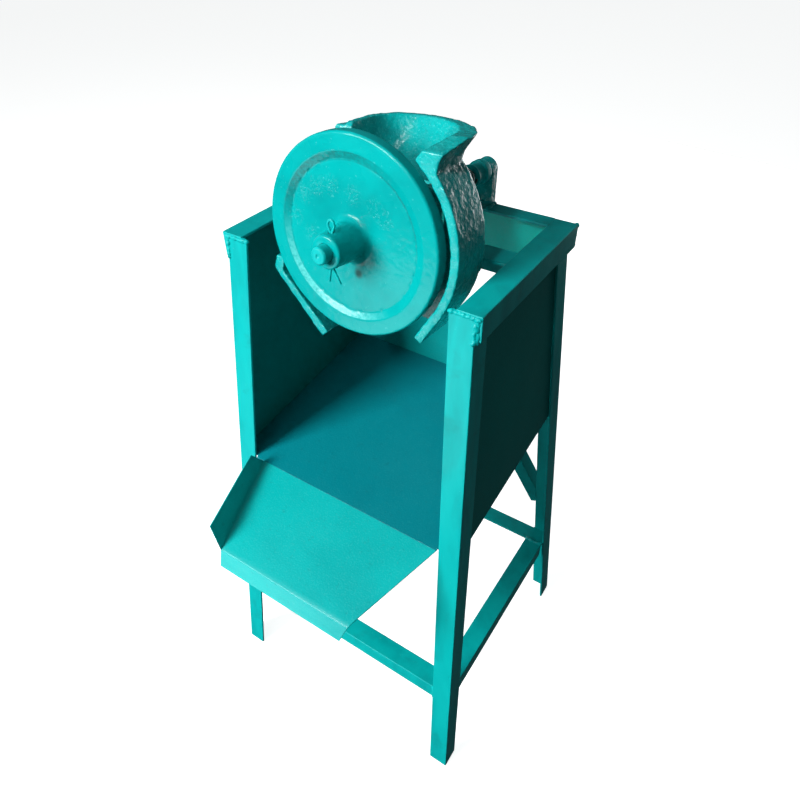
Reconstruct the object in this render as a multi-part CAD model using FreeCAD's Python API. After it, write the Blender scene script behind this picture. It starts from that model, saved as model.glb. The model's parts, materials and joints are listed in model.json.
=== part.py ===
import FreeCAD, Part
import math
import os

os.makedirs("parts", exist_ok=True)

Vector = FreeCAD.Vector

# Stand of welded angle bar; x is right, y is back and z is up, in millimetres
stand_height = 670.0
frame_width = 288.0
frame_depth = 200.4
bar_width = 25.0
bar_wall = 3.0
leg_inset = 7.0
side_splay = 42.0
end_splay = 73.0
rear_flange_width = 18.0
low_rail_height = 152.0
brace_width = 20.0
brace_drop = 147.0
brace_angle = 61.0

# Sheet metal panels, tray and spout
sheet_wall = 1.5
tray_height = 392.0
tray_slope = 0.1377
tray_notch = 2.4
upper_panel_height = 67.0
lower_panel_rise = 107.2
spout_root_left = 114.0
spout_length = 105.0
spout_drop = 35.0
spout_front_half = 88.0
spout_clip = 10.0
spout_flange_rise = 31.0
spout_flange_flare = 11.0
spout_flange_setback = 14.0
spout_flange_rear_share = 0.77
lip_drop = 22.0
lip_reach = 9.0
lip_clip = 7.0

# Bar across the stand that carries the casting's foot
cross_bar_front = 93.5

# Shelling head, built level about its shaft and then tilted back onto the stand
head_tilt = 5.0
shaft_rise = 20.8
disc_front = 17.3
running_fit = 0.05

# Toothed disc and its hub
disc_radius = 91.6
disc_thickness = 14.0
disc_chamfer = 1.5
rim_inner_radius = 76.5
web_outer_radius = 67.5
web_recess = 3.0
web_groove_width = 1.5
web_groove_depth = 2.5
hub_radius = 15.5
hub_neck_radius = 17.5
hub_root_radius = 24.0
hub_length = 34.0
hub_rounding = 2.5
rear_boss_radius = 16.0
rear_boss_length = 6.0
tooth_height = 3.0
tooth_base_radius = 3.4
tooth_tip_radius = 1.4
tooth_rows = 12
teeth_in_row = 5
tooth_first_radius = 32.0
tooth_pitch = 12.0
tooth_row_twist = 6.0

# Shaft, split pin and washers
shaft_radius = 8.0
shaft_front = -44.0
shaft_chamfer = 1.5
pin_radius = 2.0
pin_place = -25.0
pin_wire_radius = 1.2
pin_loop_radius = 3.2
pin_leg_drop = 15.0
pin_leg_ends = (-3.0, 9.5)
washer_radius = 16.0
washer_thickness = 2.5
washer_play = 0.3
bush_radius = 11.0
bush_length = 20.0

# Casing casting
casing_front = 8.0
casing_back = 55.0
casing_wall = 7.0
ring_inner_radius = 97.0
ring_wall = 9.0
ring_low_angle = -30.0
ring_high_angle = 47.0
ring_tail_length = 35.5
back_disc_radius = 84.0
chute_distance = 111.5
chute_thickness = 10.5
chute_left = -100.8
chute_right = -42.0
tooth_clearance = 0.5
sleeve_length = 79.0
sleeve_core_radius = 9.5
window_low = (18.0, -8.0)
window_high = (66.0, 50.0)
throat_wall_low = 20.0
foot_half_width = 55.0
foot_thickness = 8.0
rib_place = -54.0
rib_thickness = 6.0
hopper_levels = (50.0, 68.0, 80.0, 94.0)
hopper_left = (-12.0, -12.0, -15.0, -18.0)
hopper_right = (77.0, 78.0, 80.0, 88.0)
hopper_back = (55.0, 68.0, 78.0, 90.0)
hopper_corners = (15.0, 25.0, 36.0, 46.0)
hopper_inner_right = (57.0, 57.0, 58.0, 71.0)
hopper_front = -35.0
hopper_lip_rounding = 6.0
hopper_rim_fall = 7.0
hopper_rim_fall_end = 40.0
hopper_lug_left = -28.0
hopper_lug_height = 17.0

# Fasteners: shank radius, across flats, head height
foot_bolt = (5.0, 17.0, 6.4)
foot_bolt_place = 35.0
foot_nut_height = 8.0
foot_washer_radius = 10.0
foot_washer_thickness = 2.0
bearing_bolt = (4.0, 13.0, 4.5)
bearing_bolt_place = 30.0
bearing_bolt_drop = 12.5
bearing_nut_height = 6.5
bolt_hole_play = 0.3
thread_end = 3.0

# Rear bearing and crank
bearing_half_width = 45.0
bearing_thickness = 8.0
bearing_rise = 20.0
bearing_boss_radius = 15.0
bearing_boss_length = 19.2
shaft_notch_radius = 12.0
crank_hub_radius = 15.0
crank_hub_length = 22.0
crank_arm_length = 150.0
crank_arm_width = 24.0
crank_arm_thickness = 8.0
crank_arm_offset = 6.0
crank_rest_angle = 40.0
shaft_tail = 8.0
set_screw = (3.0, 10.0, 4.0)
grip_pin_radius = 6.0
grip_pin_head_radius = 9.0
grip_pin_head = 3.0
grip_radius = 14.0
grip_end_radius = 10.5
grip_length = 85.0
grip_play = 0.5
grip_fit = 0.1

# Spring pressed plate that holds the ear against the teeth
plate_play = 1.0
plate_thickness = 8.0
plate_rib_depth = 2.0
plate_rib_count = 4
plate_travel = 12.0
plate_boss_radius = 10.0
plate_boss_length = 22.0
rod_place = (41.0, 31.0)
rod_radius = 6.0
rod_end_play = 0.5
spring_mean_radius = 9.0
spring_wire_radius = 1.0
spring_turns = 9.0
spring_seat_play = 0.05
spring_washer_radius = 11.5
spring_washer_thickness = 2.0
hand_nut_radius = 12.0
hand_nut_length = 24.0
hand_nut_rounding = 3.0
hand_nut_neck_radius = 9.5
hand_nut_neck_share = 0.6
hand_nut_gap = 3.644
post_setback = 11.4
post_thickness = 10.0
post_half_width = 11.0
post_fillet = 6.0

# Values that follow from the sizes above
half_frame = frame_width / 2
leg_top = stand_height - bar_wall
leg_half_top = half_frame - leg_inset
leg_rear_top = frame_depth - leg_inset
tilt = math.radians(head_tilt)
quarter_turn = 90.0
shaft_height = stand_height + shaft_rise
brace_start_height = tray_height - brace_drop
upper_panel_bottom = leg_top - upper_panel_height
bearing_boss_end = (frame_depth - disc_front) / math.cos(tilt) + bearing_boss_length
ring_outer_radius = ring_inner_radius + ring_wall
teeth_end = disc_thickness + tooth_height
hub_end = disc_thickness + rear_boss_length
sleeve_front = hub_end + washer_thickness + 2 * washer_play
sleeve_end = sleeve_front + sleeve_length
back_front = casing_back - casing_wall
crank_front = bearing_boss_end + washer_thickness + 2 * washer_play
crank_back = crank_front + crank_hub_length
arm_front = crank_front + crank_arm_offset
arm_back = arm_front + crank_arm_thickness
grip_front = arm_back + grip_play
grip_back = grip_front + grip_length
plate_back = back_front
plate_front = plate_back - plate_thickness
plate_boss_end = plate_back + plate_boss_length
post_front = frame_depth - post_setback
post_front_along = (post_front - disc_front - rod_place[1] * math.sin(tilt)) / math.cos(tilt)
spring_washer_front = post_front_along - hand_nut_gap - hand_nut_length - spring_washer_thickness
spring_length = spring_washer_front - plate_boss_end
nut_front = spring_washer_front + spring_washer_thickness
rod_front = plate_front + plate_rib_depth + plate_travel + 2 * rod_end_play
rod_end = post_front_along + post_thickness / math.cos(tilt) - rod_end_play
cross_bar_back = cross_bar_front + bar_width
far = 2 * stand_height


def block(low, high):
    size = [high[axis] - low[axis] for axis in range(3)]
    return Part.makeBox(size[0], size[1], size[2], Vector(*low))


def prism(points, path):
    # flat outline swept along a straight path
    corners = [Vector(*point) for point in points]
    return Part.Face(Part.makePolygon(corners + corners[:1])).extrude(Vector(*path))


def rod(start, end, radius):
    path = Vector(*end) - Vector(*start)
    return Part.makeCylinder(radius, path.Length, Vector(*start), path)


def shaft_rod(front, back, radius, x=0.0, z=0.0):
    return rod((x, front, z), (x, back, z), radius)


def collar(front, back, outer, inner, x=0.0, z=0.0):
    return shaft_rod(front, back, outer, x, z).cut(shaft_rod(front, back, inner, x, z))


def turned(points, x=0.0, z=0.0):
    # outline of radius and place along the shaft, turned about the shaft
    corners = [Vector(radius, along, 0) for radius, along in points]
    face = Part.Face(Part.makePolygon(corners + corners[:1]))
    solid = face.revolve(Vector(0, 0, 0), Vector(0, 1, 0), 360)
    solid.translate(Vector(x, 0, z))
    return solid


def arc_points(centre, radius, start, end, steps=8):
    # points of an arc in the outline of a turned piece
    points = []
    for step in range(steps + 1):
        angle = math.radians(start + (end - start) * step / steps)
        points.append((centre[0] + radius * math.cos(angle), centre[1] + radius * math.sin(angle)))
    return points


def hexagon(centre, path, across_flats):
    # six sided head or nut, centred on its axis
    axis = Vector(*path)
    side = axis.cross(Vector(1, 0, 0)).normalize()
    corner = side * (across_flats / math.sqrt(3))
    turn = FreeCAD.Rotation(axis, 60)
    points = [corner]
    for index in range(5):
        points.append(turn.multVec(points[-1]))
    return prism([tuple(Vector(*centre) + point) for point in points], path)


def join(pieces):
    return pieces[0].multiFuse(pieces[1:]).removeSplitter()


def splayed(value, splay, height):
    # distance of a splayed face at one height
    return value + splay * (1 - height / stand_height)


def stand_space(side_gap, front_gap, rear_gap):
    # tapered space between the four legs, set in from their outer faces
    half_top = leg_half_top - side_gap
    half_foot = half_top + side_splay
    front_top = front_gap
    front_foot = front_gap - end_splay
    rear_top = leg_rear_top - rear_gap
    rear_foot = rear_top + end_splay
    across = [(-half_foot, -far, 0), (half_foot, -far, 0),
              (half_top, -far, stand_height), (-half_top, -far, stand_height)]
    along = [(-far, front_foot, 0), (-far, rear_foot, 0),
             (-far, rear_top, stand_height), (-far, front_top, stand_height)]
    return prism(across, (0, 2 * far, 0)).common(prism(along, (2 * far, 0, 0)))


def seat_head(shape):
    # place of the level head on the stand
    shape.rotate(Vector(0, 0, 0), Vector(1, 0, 0), -head_tilt)
    shape.translate(Vector(0, disc_front, shaft_height))
    return shape


def leg(side, end):
    # angle bar with its corner outwards, leaning to the centre as it rises
    x = side * (leg_half_top + side_splay)
    y = -end_splay if end < 0 else leg_rear_top + end_splay
    outline = [(0, 0), (bar_width, 0), (bar_width, bar_wall), (bar_wall, bar_wall),
               (bar_wall, bar_width), (0, bar_width)]
    points = [(x - side * across, y - end * along, 0) for across, along in outline]
    rise = leg_top / stand_height
    return prism(points, (-side * side_splay * rise, -end * end_splay * rise, leg_top))


def angle_bar(low, high, flange_side, face_side):
    # straight angle bar in a box: one flange on top, one down at a side of the box
    top = block((low[0], low[1], high[2] - bar_wall), high)
    wall_low = list(low)
    wall_high = list(high)
    if face_side < 0:
        wall_high[flange_side] = low[flange_side] + bar_wall
    else:
        wall_low[flange_side] = high[flange_side] - bar_wall
    return join([top, block(wall_low, wall_high)])


def top_side_rail(side):
    low = (side * half_frame - bar_width * (1 + side) / 2, 0, stand_height - bar_width)
    high = (low[0] + bar_width, frame_depth, stand_height)
    return angle_bar(low, high, 0, side)


def shaft_notch():
    return seat_head(shaft_rod(0, 2 * frame_depth, shaft_notch_radius))


def top_rear_rail():
    inner = half_frame - bar_width
    wall_inner = half_frame - bar_wall
    flange = block((-inner, frame_depth - rear_flange_width, leg_top), (inner, frame_depth, stand_height))
    wall = block((-wall_inner, frame_depth - bar_wall, stand_height - bar_width),
                 (wall_inner, frame_depth, leg_top))
    rail = join([flange, wall]).cut(shaft_notch())
    for side in (-1, 1):
        rail = rail.cut(bearing_bolt_shank(side, bolt_hole_play))
    return rail


def low_end_rail(end):
    # rail between the side flanges of two legs, against their end flanges
    if end < 0:
        outer = bar_wall - splayed(0, end_splay, low_rail_height)
        low_y = outer
    else:
        outer = splayed(leg_rear_top - bar_wall, end_splay, low_rail_height)
        low_y = outer - bar_width
    low = (-half_frame - side_splay, low_y, low_rail_height - bar_width)
    high = (half_frame + side_splay, low_y + bar_width, low_rail_height)
    return angle_bar(low, high, 1, end).common(stand_space(bar_wall, bar_wall, bar_wall))


def low_side_rail(side):
    # rail butted between the front and rear low rails
    outer = splayed(leg_half_top - bar_wall, side_splay, low_rail_height)
    low_y = bar_wall - splayed(0, end_splay, low_rail_height) + bar_width
    high_y = splayed(leg_rear_top - bar_wall, end_splay, low_rail_height) - bar_width
    low_x = side * outer - bar_width * (1 + side) / 2
    low = (low_x, low_y, low_rail_height - bar_width)
    high = (low_x + bar_width, high_y, low_rail_height)
    return angle_bar(low, high, 0, side)


def knee_brace(side):
    # small angle bar from a rear leg up behind the lower rear panel
    lean = math.atan(end_splay / stand_height)
    up = Vector(0, -math.sin(lean), math.cos(lean))
    back = Vector(0, math.cos(lean), math.sin(lean))
    rise = math.radians(brace_angle)
    along = Vector(-side, 0, 0) * math.cos(rise) + up * math.sin(rise)
    below = Vector(-side, 0, 0) * math.sin(rise) - up * math.cos(rise)
    leg_edge = splayed(leg_half_top - bar_width, side_splay, brace_start_height)
    rear = splayed(leg_rear_top - bar_wall, end_splay, brace_start_height)
    start = Vector(side * leg_edge, rear, brace_start_height) - along * bar_width
    outline = [(0, 0), (brace_width, 0), (brace_width, bar_wall), (bar_wall, bar_wall),
               (bar_wall, brace_width), (0, brace_width)]
    points = [tuple(start + below * across + back * depth) for across, depth in outline]
    panel_foot = tray_top(leg_rear_top) + brace_width
    length = (panel_foot - brace_start_height) / along.z + bar_width
    brace = prism(points, tuple(along * length))
    return brace.common(stand_space(bar_width, 0, -2 * bar_width))


def tray_front():
    return -splayed(0, end_splay, tray_height)


def tray_top(y):
    return tray_height + tray_slope * (y - tray_front())


def above_tray(top):
    # everything between the tray's upper face and a height
    low_y = -frame_depth
    high_y = 2 * frame_depth
    points = [(-far, low_y, tray_top(low_y)), (-far, high_y, tray_top(high_y)),
              (-far, high_y, top), (-far, low_y, top)]
    return prism(points, (2 * far, 0, 0))


def side_panel(side):
    walls = stand_space(bar_wall, bar_wall, bar_wall)
    walls = walls.cut(stand_space(bar_wall + sheet_wall, 0, 0))
    half = block((min(0, side * far), -far, 0), (max(0, side * far), far, leg_top))
    return walls.common(above_tray(leg_top)).common(half)


def rear_wall():
    wall = stand_space(bar_wall + sheet_wall, bar_wall, bar_wall)
    return wall.cut(stand_space(bar_wall, -bar_wall, bar_wall + sheet_wall))


def upper_rear_panel():
    band = block((-far, -far, upper_panel_bottom), (far, far, leg_top))
    return rear_wall().common(band).cut(shaft_notch())


def lower_rear_panel():
    return rear_wall().common(above_tray(tray_top(leg_rear_top) + lower_panel_rise))


def tray_floor():
    low_y = tray_front()
    high_y = 2 * frame_depth
    points = [(-far, low_y, tray_height), (-far, high_y, tray_top(high_y)),
              (-far, high_y, tray_top(high_y) - sheet_wall), (-far, low_y, tray_height - sheet_wall)]
    slab = prism(points, (2 * far, 0, 0))
    wide = slab.common(stand_space(bar_wall, bar_wall, bar_wall))
    edge = tray_half_front()
    tongue = slab.common(block((-edge, low_y, 0), (edge, low_y + bar_width, stand_height)))
    return join([wide, tongue])


def tray_half_front():
    return splayed(leg_half_top - bar_width, side_splay, tray_height) - tray_notch


def spout_apron():
    # folded sheet: sloping plate, flared left flange and turned down lip
    root = tray_front()
    front = root - spout_length
    low = tray_height - spout_drop
    right = tray_half_front()
    clip_y = front + spout_clip
    clip_x = spout_front_half + (right - spout_front_half) * spout_clip / spout_length
    clip_z = low + spout_drop * spout_clip / spout_length
    plate = prism([(-spout_root_left, root, tray_height), (right, root, tray_height),
                   (clip_x, clip_y, clip_z), (spout_front_half, front, low),
                   (-spout_front_half, front, low)], (0, 0, -sheet_wall))
    crease_rear = Vector(-spout_root_left, root, tray_height)
    crease_front = Vector(-spout_front_half, front, low)
    rise = Vector(-spout_flange_flare, 0, spout_flange_rise)
    crease = crease_front - crease_rear
    top_rear = crease_rear + crease * (spout_flange_setback / spout_length) + rise * spout_flange_rear_share
    corners = [crease_rear, crease_front, crease_front + rise, top_rear]
    outward = crease.cross(rise).normalize() * sheet_wall
    flange = prism([tuple(corner) for corner in corners], tuple(outward))
    below_crease = crease_rear - Vector(0, 0, sheet_wall)
    seam = prism([tuple(crease_rear), tuple(crease_rear + outward), tuple(below_crease)], tuple(crease))
    lip = prism([(-spout_front_half, front, low), (spout_front_half, front, low),
                 (spout_front_half - lip_clip, front - lip_reach, low - lip_drop),
                 (-spout_front_half, front - lip_reach, low - lip_drop)], (0, sheet_wall, 0))
    return join([plate, flange, seam, lip])


def head_cross_bar():
    low = (-half_frame, cross_bar_front, leg_top - bar_width)
    high = (half_frame, cross_bar_back, leg_top)
    bar = angle_bar(low, high, 1, 1).common(stand_space(bar_wall + sheet_wall, 0, 0))
    for side in (-1, 1):
        bar = bar.cut(foot_bolt_shank(side, bolt_hole_play))
    return bar


def foot_bolt_centre(side):
    return (side * foot_bolt_place, cross_bar_front + (bar_width - bar_wall) / 2)


def foot_bolt_shank(side, play):
    x, y = foot_bolt_centre(side)
    low = leg_top - bar_wall - foot_nut_height - thread_end
    high = leg_top + foot_thickness + foot_washer_thickness
    return rod((x, y, low), (x, y, high), foot_bolt[0] + play)


def foot_bolts():
    bolts = []
    for side in (-1, 1):
        x, y = foot_bolt_centre(side)
        under_head = leg_top + foot_thickness + foot_washer_thickness
        head = hexagon((x, y, under_head), (0, 0, foot_bolt[2]), foot_bolt[1])
        bolts.append(join([foot_bolt_shank(side, 0), head]))
    return Part.makeCompound(bolts)


def foot_nuts():
    nuts = []
    for side in (-1, 1):
        x, y = foot_bolt_centre(side)
        top = leg_top - bar_wall
        nut = hexagon((x, y, top), (0, 0, -foot_nut_height), foot_bolt[1])
        nuts.append(nut.cut(foot_bolt_shank(side, running_fit)))
    return Part.makeCompound(nuts)


def foot_washers():
    washers = []
    for side in (-1, 1):
        x, y = foot_bolt_centre(side)
        low = leg_top + foot_thickness
        disc = rod((x, y, low), (x, y, low + foot_washer_thickness), foot_washer_radius)
        washers.append(disc.cut(foot_bolt_shank(side, bolt_hole_play)))
    return Part.makeCompound(washers)


def polar(radius, angle, along=0.0):
    return (radius * math.cos(math.radians(angle)), along, radius * math.sin(math.radians(angle)))


def sector(low_angle, high_angle, front, back):
    # wedge about the shaft that is wider than the casing
    reach = 2 * ring_outer_radius
    middle = (low_angle + high_angle) / 2
    points = [(0, front, 0)]
    for angle in (low_angle, (low_angle + middle) / 2, middle, (middle + high_angle) / 2, high_angle):
        points.append(polar(reach, angle, front))
    return prism(points, (0, back - front, 0))


def casing_ring():
    ring = collar(casing_front, casing_back, ring_outer_radius, ring_inner_radius)
    return ring.common(sector(ring_low_angle, ring_high_angle, casing_front, casing_back))


def tail_point(radius, length):
    # point of the straight end of the ring, which runs on from its arc
    start = polar(radius, ring_low_angle)
    onward = polar(length, ring_low_angle - quarter_turn)
    return (start[0] + onward[0], start[2] + onward[2])


def ring_tail(front, back):
    outline = [tail_point(ring_inner_radius, 0), tail_point(ring_outer_radius, 0)]
    outline += [tail_point(ring_outer_radius, ring_tail_length)]
    outline += [tail_point(ring_inner_radius, ring_tail_length)]
    return prism([(x, front, z) for x, z in outline], (0, back - front, 0))


def chute_line(x):
    # point of the sloping lower left wall in the plane across the shaft
    return (x, -chute_distance * math.sqrt(2) - x)


def chute_wall():
    shift = chute_thickness / math.sqrt(2)
    outer_top = chute_line(chute_left)
    outer_low = chute_line(chute_right)
    inner_low = (outer_low[0] + shift, outer_low[1] + shift)
    inner_top = (outer_top[0] + 2 * shift, outer_top[1] + 2 * shift)
    crown = (outer_top[0] + shift / 2, outer_top[1] + 2 * shift)
    outline = [outer_top, outer_low, inner_low, (inner_top[0] - shift / 2, inner_top[1] - 2 * shift),
               inner_top, crown]
    points = [(x, casing_front, z) for x, z in outline]
    return prism(points, (0, casing_back - casing_front, 0))


def casing_back_plate():
    depth = casing_back - back_front
    centre = shaft_rod(back_front, casing_back, back_disc_radius)
    fan = shaft_rod(back_front, casing_back, ring_outer_radius)
    fan = fan.common(sector(ring_low_angle, ring_high_angle, back_front, casing_back))
    low_left = chute_line(chute_left)
    low_middle = chute_line(chute_right)
    tail_inner = tail_point(ring_inner_radius, ring_tail_length)
    tail_outer = tail_point(ring_outer_radius, ring_tail_length)
    outline = [low_left, low_middle, (casing_wall, -back_disc_radius), tail_inner, tail_outer,
               tail_point(ring_outer_radius, 0), (0, 0), (-back_disc_radius, 0)]
    chute = prism([(x, back_front, z) for x, z in outline], (0, depth, 0))
    return join([centre, fan, chute])


def rounded_outline(low, high, radius, height):
    # level rectangle with round corners, as a closed wire
    centres = [(high[0] - radius, high[1] - radius), (low[0] + radius, high[1] - radius),
               (low[0] + radius, low[1] + radius), (high[0] - radius, low[1] + radius)]
    arcs = []
    for index, (x, y) in enumerate(centres):
        start = quarter_turn * index
        arcs.append(Part.makeCircle(radius, Vector(x, y, height), Vector(0, 0, 1), start,
                                    start + quarter_turn))
    edges = []
    for index, arc in enumerate(arcs):
        following = arcs[(index + 1) % len(arcs)]
        edges.append(arc)
        edges.append(Part.makeLine(arc.Vertexes[-1].Point, following.Vertexes[0].Point))
    return Part.Wire(edges)


def hopper_body(inner):
    wires = []
    wall = casing_wall if inner else 0.0
    rights = hopper_inner_right if inner else hopper_right
    for index, height in enumerate(hopper_levels):
        low = (hopper_left[index] + wall, hopper_front)
        high = (rights[index], hopper_back[index] - wall)
        wires.append(rounded_outline(low, high, hopper_corners[index] - wall, height))
    return Part.makeLoft(wires, True, True)


def hopper_corner_cut():
    # rounding of the left wall's free top corner
    level = hopper_levels[-1]
    front = teeth_end + tooth_clearance
    rounding = hopper_lip_rounding
    corner = block((-ring_outer_radius, front, level - rounding), (0, front + rounding, level + rounding))
    arc = rod((-ring_outer_radius, front + rounding, level - rounding),
              (0, front + rounding, level - rounding), rounding)
    return corner.cut(arc)


def hopper_rim_cut():
    # the right wall's rim falls towards the front
    level = hopper_levels[-1]
    middle = (hopper_inner_right[0] + hopper_left[0]) / 2
    points = [(middle, casing_front, level - hopper_rim_fall), (middle, hopper_rim_fall_end, level),
              (middle, hopper_rim_fall_end, 2 * level), (middle, hopper_front, 2 * level),
              (middle, hopper_front, level - hopper_rim_fall)]
    return prism(points, (far, 0, 0))


def hopper_lug():
    # corner of the left wall that widens towards the front
    front = teeth_end + tooth_clearance
    low = hopper_levels[-1] - hopper_lip_rounding / 2 - hopper_lug_height
    points = [(hopper_lug_left, front, low), (hopper_left[1], front, low),
              (hopper_left[1], hopper_rim_fall_end, low), (hopper_left[-1], hopper_rim_fall_end, low)]
    return prism(points, (0, 0, hopper_lug_height))


def hopper():
    level = hopper_levels[1]
    outer = hopper_body(False)
    front_part = block((-far, -far, 0), (far, back_front, level))
    shell = join([outer.cut(front_part), hopper_lug()])
    shell = shell.cut(hopper_corner_cut()).cut(hopper_rim_cut())
    wall_top = level + casing_wall
    throat_wall = block((hopper_left[1], teeth_end + tooth_clearance, throat_wall_low),
                        (hopper_left[1] + casing_wall, back_front, wall_top))
    return join([shell, throat_wall])


def casting_rib():
    low = -foot_thickness - casing_wall / 2
    points = [(rib_place, back_front, low), (rib_place, back_front, -low * 2),
              (rib_place, casing_back, -low * 2), (rib_place, sleeve_end - foot_thickness, low)]
    return prism(points, (rib_thickness, 0, 0))


def bush_seat(front, back):
    return shaft_rod(front, back, bush_radius)


def housing_casting():
    shaft_sleeve = shaft_rod(sleeve_front, sleeve_end, hub_radius)
    tail = ring_tail(casing_front, casing_back)
    body = join([casing_ring(), tail, chute_wall(), casing_back_plate(), hopper(), shaft_sleeve,
                 casting_rib()])
    clear_front = shaft_rod(-ring_outer_radius, teeth_end + tooth_clearance, ring_inner_radius)
    ahead = block((-far, -far, -far), (far, casing_front, far))
    window = block((window_low[0], 0, window_low[1]), (window_high[0], casing_back, window_high[1]))
    body = body.cut(hopper_body(True)).cut(clear_front).cut(ahead).cut(window)
    body = body.cut(shaft_rod(sleeve_front, sleeve_end, sleeve_core_radius))
    body = body.cut(bush_seat(sleeve_front, sleeve_front + bush_length))
    body = seat_head(body.cut(bush_seat(sleeve_end - bush_length, sleeve_end)))
    foot_front = disc_front + back_front + casing_wall / 2
    foot = block((-foot_half_width, foot_front, leg_top),
                 (foot_half_width, cross_bar_back, leg_top + foot_thickness))
    foot = foot.cut(seat_head(shaft_rod(sleeve_front, 2 * sleeve_end, (hub_radius + sleeve_core_radius) / 2)))
    foot = foot.cut(seat_head(block((window_low[0], 0, window_low[1]), window_corner())))
    body = join([body, foot])
    body = body.cut(block((-far, cross_bar_front - bar_width, 0), (far, far, leg_top)))
    for side in (-1, 1):
        body = body.cut(foot_bolt_shank(side, bolt_hole_play))
    return body


def window_corner():
    return (window_high[0], casing_back + plate_travel, window_high[1])


def bush(front, length):
    return seat_head(collar(front, front + length, bush_radius, shaft_radius + running_fit))


def toothed_disc():
    bore = shaft_radius + running_fit
    nose = arc_points((hub_radius - hub_rounding, hub_rounding - hub_length), hub_rounding, -quarter_turn, 0)
    root_rise = hub_root_radius - hub_neck_radius
    root = arc_points((hub_root_radius, web_recess - root_rise), root_rise, 2 * quarter_turn, quarter_turn)
    groove_end = web_outer_radius + web_groove_width
    outline = [(bore, -hub_length)] + nose + root + [
        (web_outer_radius, web_recess), (web_outer_radius, web_recess + web_groove_depth),
        (groove_end, web_recess + web_groove_depth), (groove_end, web_recess), (rim_inner_radius, 0),
        (disc_radius - disc_chamfer, 0), (disc_radius, disc_chamfer),
        (disc_radius, disc_thickness - disc_chamfer), (disc_radius - disc_chamfer, disc_thickness),
        (rear_boss_radius, disc_thickness), (rear_boss_radius, hub_end), (bore, hub_end)]
    body = turned(outline)
    teeth = []
    for row in range(tooth_rows):
        for index in range(teeth_in_row):
            angle = 360 * row / tooth_rows + tooth_row_twist * index
            place = polar(tooth_first_radius + tooth_pitch * index, angle, disc_thickness - disc_chamfer)
            height = tooth_height + disc_chamfer
            teeth.append(Part.makeCone(tooth_base_radius, tooth_tip_radius, height,
                                       Vector(*place), Vector(0, 1, 0)))
    body = body.multiFuse(teeth)
    return seat_head(body.cut(pin_hole()))


def pin_hole():
    return rod((0, pin_place, -2 * hub_radius), (0, pin_place, 2 * hub_radius), pin_radius + running_fit)


def drive_shaft():
    end = crank_back + shaft_tail
    outline = [(0, shaft_front), (shaft_radius - shaft_chamfer, shaft_front),
               (shaft_radius, shaft_front + shaft_chamfer), (shaft_radius, end - shaft_chamfer),
               (shaft_radius - shaft_chamfer, end), (0, end)]
    return seat_head(turned(outline).cut(pin_hole()))


def split_pin():
    # pin with a loop above the hub and two bent legs below it
    top = hub_radius + pin_wire_radius
    shank = rod((0, pin_place, -top - pin_wire_radius), (0, pin_place, top), pin_radius)
    loop_height = top + pin_loop_radius
    loop_centre = Vector(0, pin_place, loop_height)
    loop = Part.makeTorus(pin_loop_radius, pin_wire_radius, loop_centre, Vector(0, 1, 0))
    pieces = [shank, loop]
    for side, end in zip((-1, 1), pin_leg_ends):
        foot = (end, pin_place, -top - pin_leg_drop)
        root = (side * (pin_radius - pin_wire_radius), pin_place, -top)
        pieces.append(rod(root, foot, pin_wire_radius))
    return seat_head(join(pieces))


def thrust_washer(front):
    return seat_head(collar(front, front + washer_thickness, washer_radius, shaft_radius + washer_play))


def bearing_bolt_shank(side, play):
    x = side * bearing_bolt_place
    z = stand_height - bearing_bolt_drop
    front = frame_depth - bar_wall - bearing_bolt[2] / 2
    back = frame_depth + bearing_thickness + bearing_nut_height + thread_end
    return rod((x, front, z), (x, back, z), bearing_bolt[0] + play)


def rear_bearing():
    # cast flange on the rear rail with a boss along the shaft
    plate = block((-bearing_half_width, frame_depth, stand_height - bar_width),
                  (bearing_half_width, frame_depth + bearing_thickness, stand_height + bearing_rise))
    for side in (-1, 1):
        tip = side * bearing_half_width
        inner = side * bearing_boss_radius
        top = stand_height + bearing_rise
        wedge = prism([(tip, frame_depth, stand_height), (tip, frame_depth, top), (inner, frame_depth, top)],
                      (0, bearing_thickness, 0))
        plate = plate.cut(wedge)
    boss = seat_head(shaft_rod(frame_depth / 2, bearing_boss_end, bearing_boss_radius))
    boss = boss.cut(block((-far, -far, -far), (far, frame_depth, 2 * far)))
    body = join([plate, boss]).cut(seat_head(bush_seat(0, bearing_boss_end + washer_play)))
    for side in (-1, 1):
        body = body.cut(bearing_bolt_shank(side, bolt_hole_play))
    return body


def bearing_bush_front():
    return (frame_depth - disc_front) / math.cos(tilt) + washer_play


def bearing_bolts():
    bolts = []
    for side in (-1, 1):
        x = side * bearing_bolt_place
        z = stand_height - bearing_bolt_drop
        head = hexagon((x, frame_depth - bar_wall, z), (0, -bearing_bolt[2], 0), bearing_bolt[1])
        bolts.append(join([bearing_bolt_shank(side, 0), head]))
    return Part.makeCompound(bolts)


def bearing_nuts():
    nuts = []
    for side in (-1, 1):
        x = side * bearing_bolt_place
        z = stand_height - bearing_bolt_drop
        back = frame_depth + bearing_thickness
        nut = hexagon((x, back, z), (0, bearing_nut_height, 0), bearing_bolt[1])
        nuts.append(nut.cut(bearing_bolt_shank(side, running_fit)))
    return Part.makeCompound(nuts)


def turn_crank(shape):
    shape.rotate(Vector(0, 0, 0), Vector(0, 1, 0), crank_rest_angle)
    return seat_head(shape)


def set_screw_shank(low, play):
    place = (arm_back + crank_back) / 2
    return rod((0, place, low), (0, place, crank_hub_radius + play), set_screw[0] + play)


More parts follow.
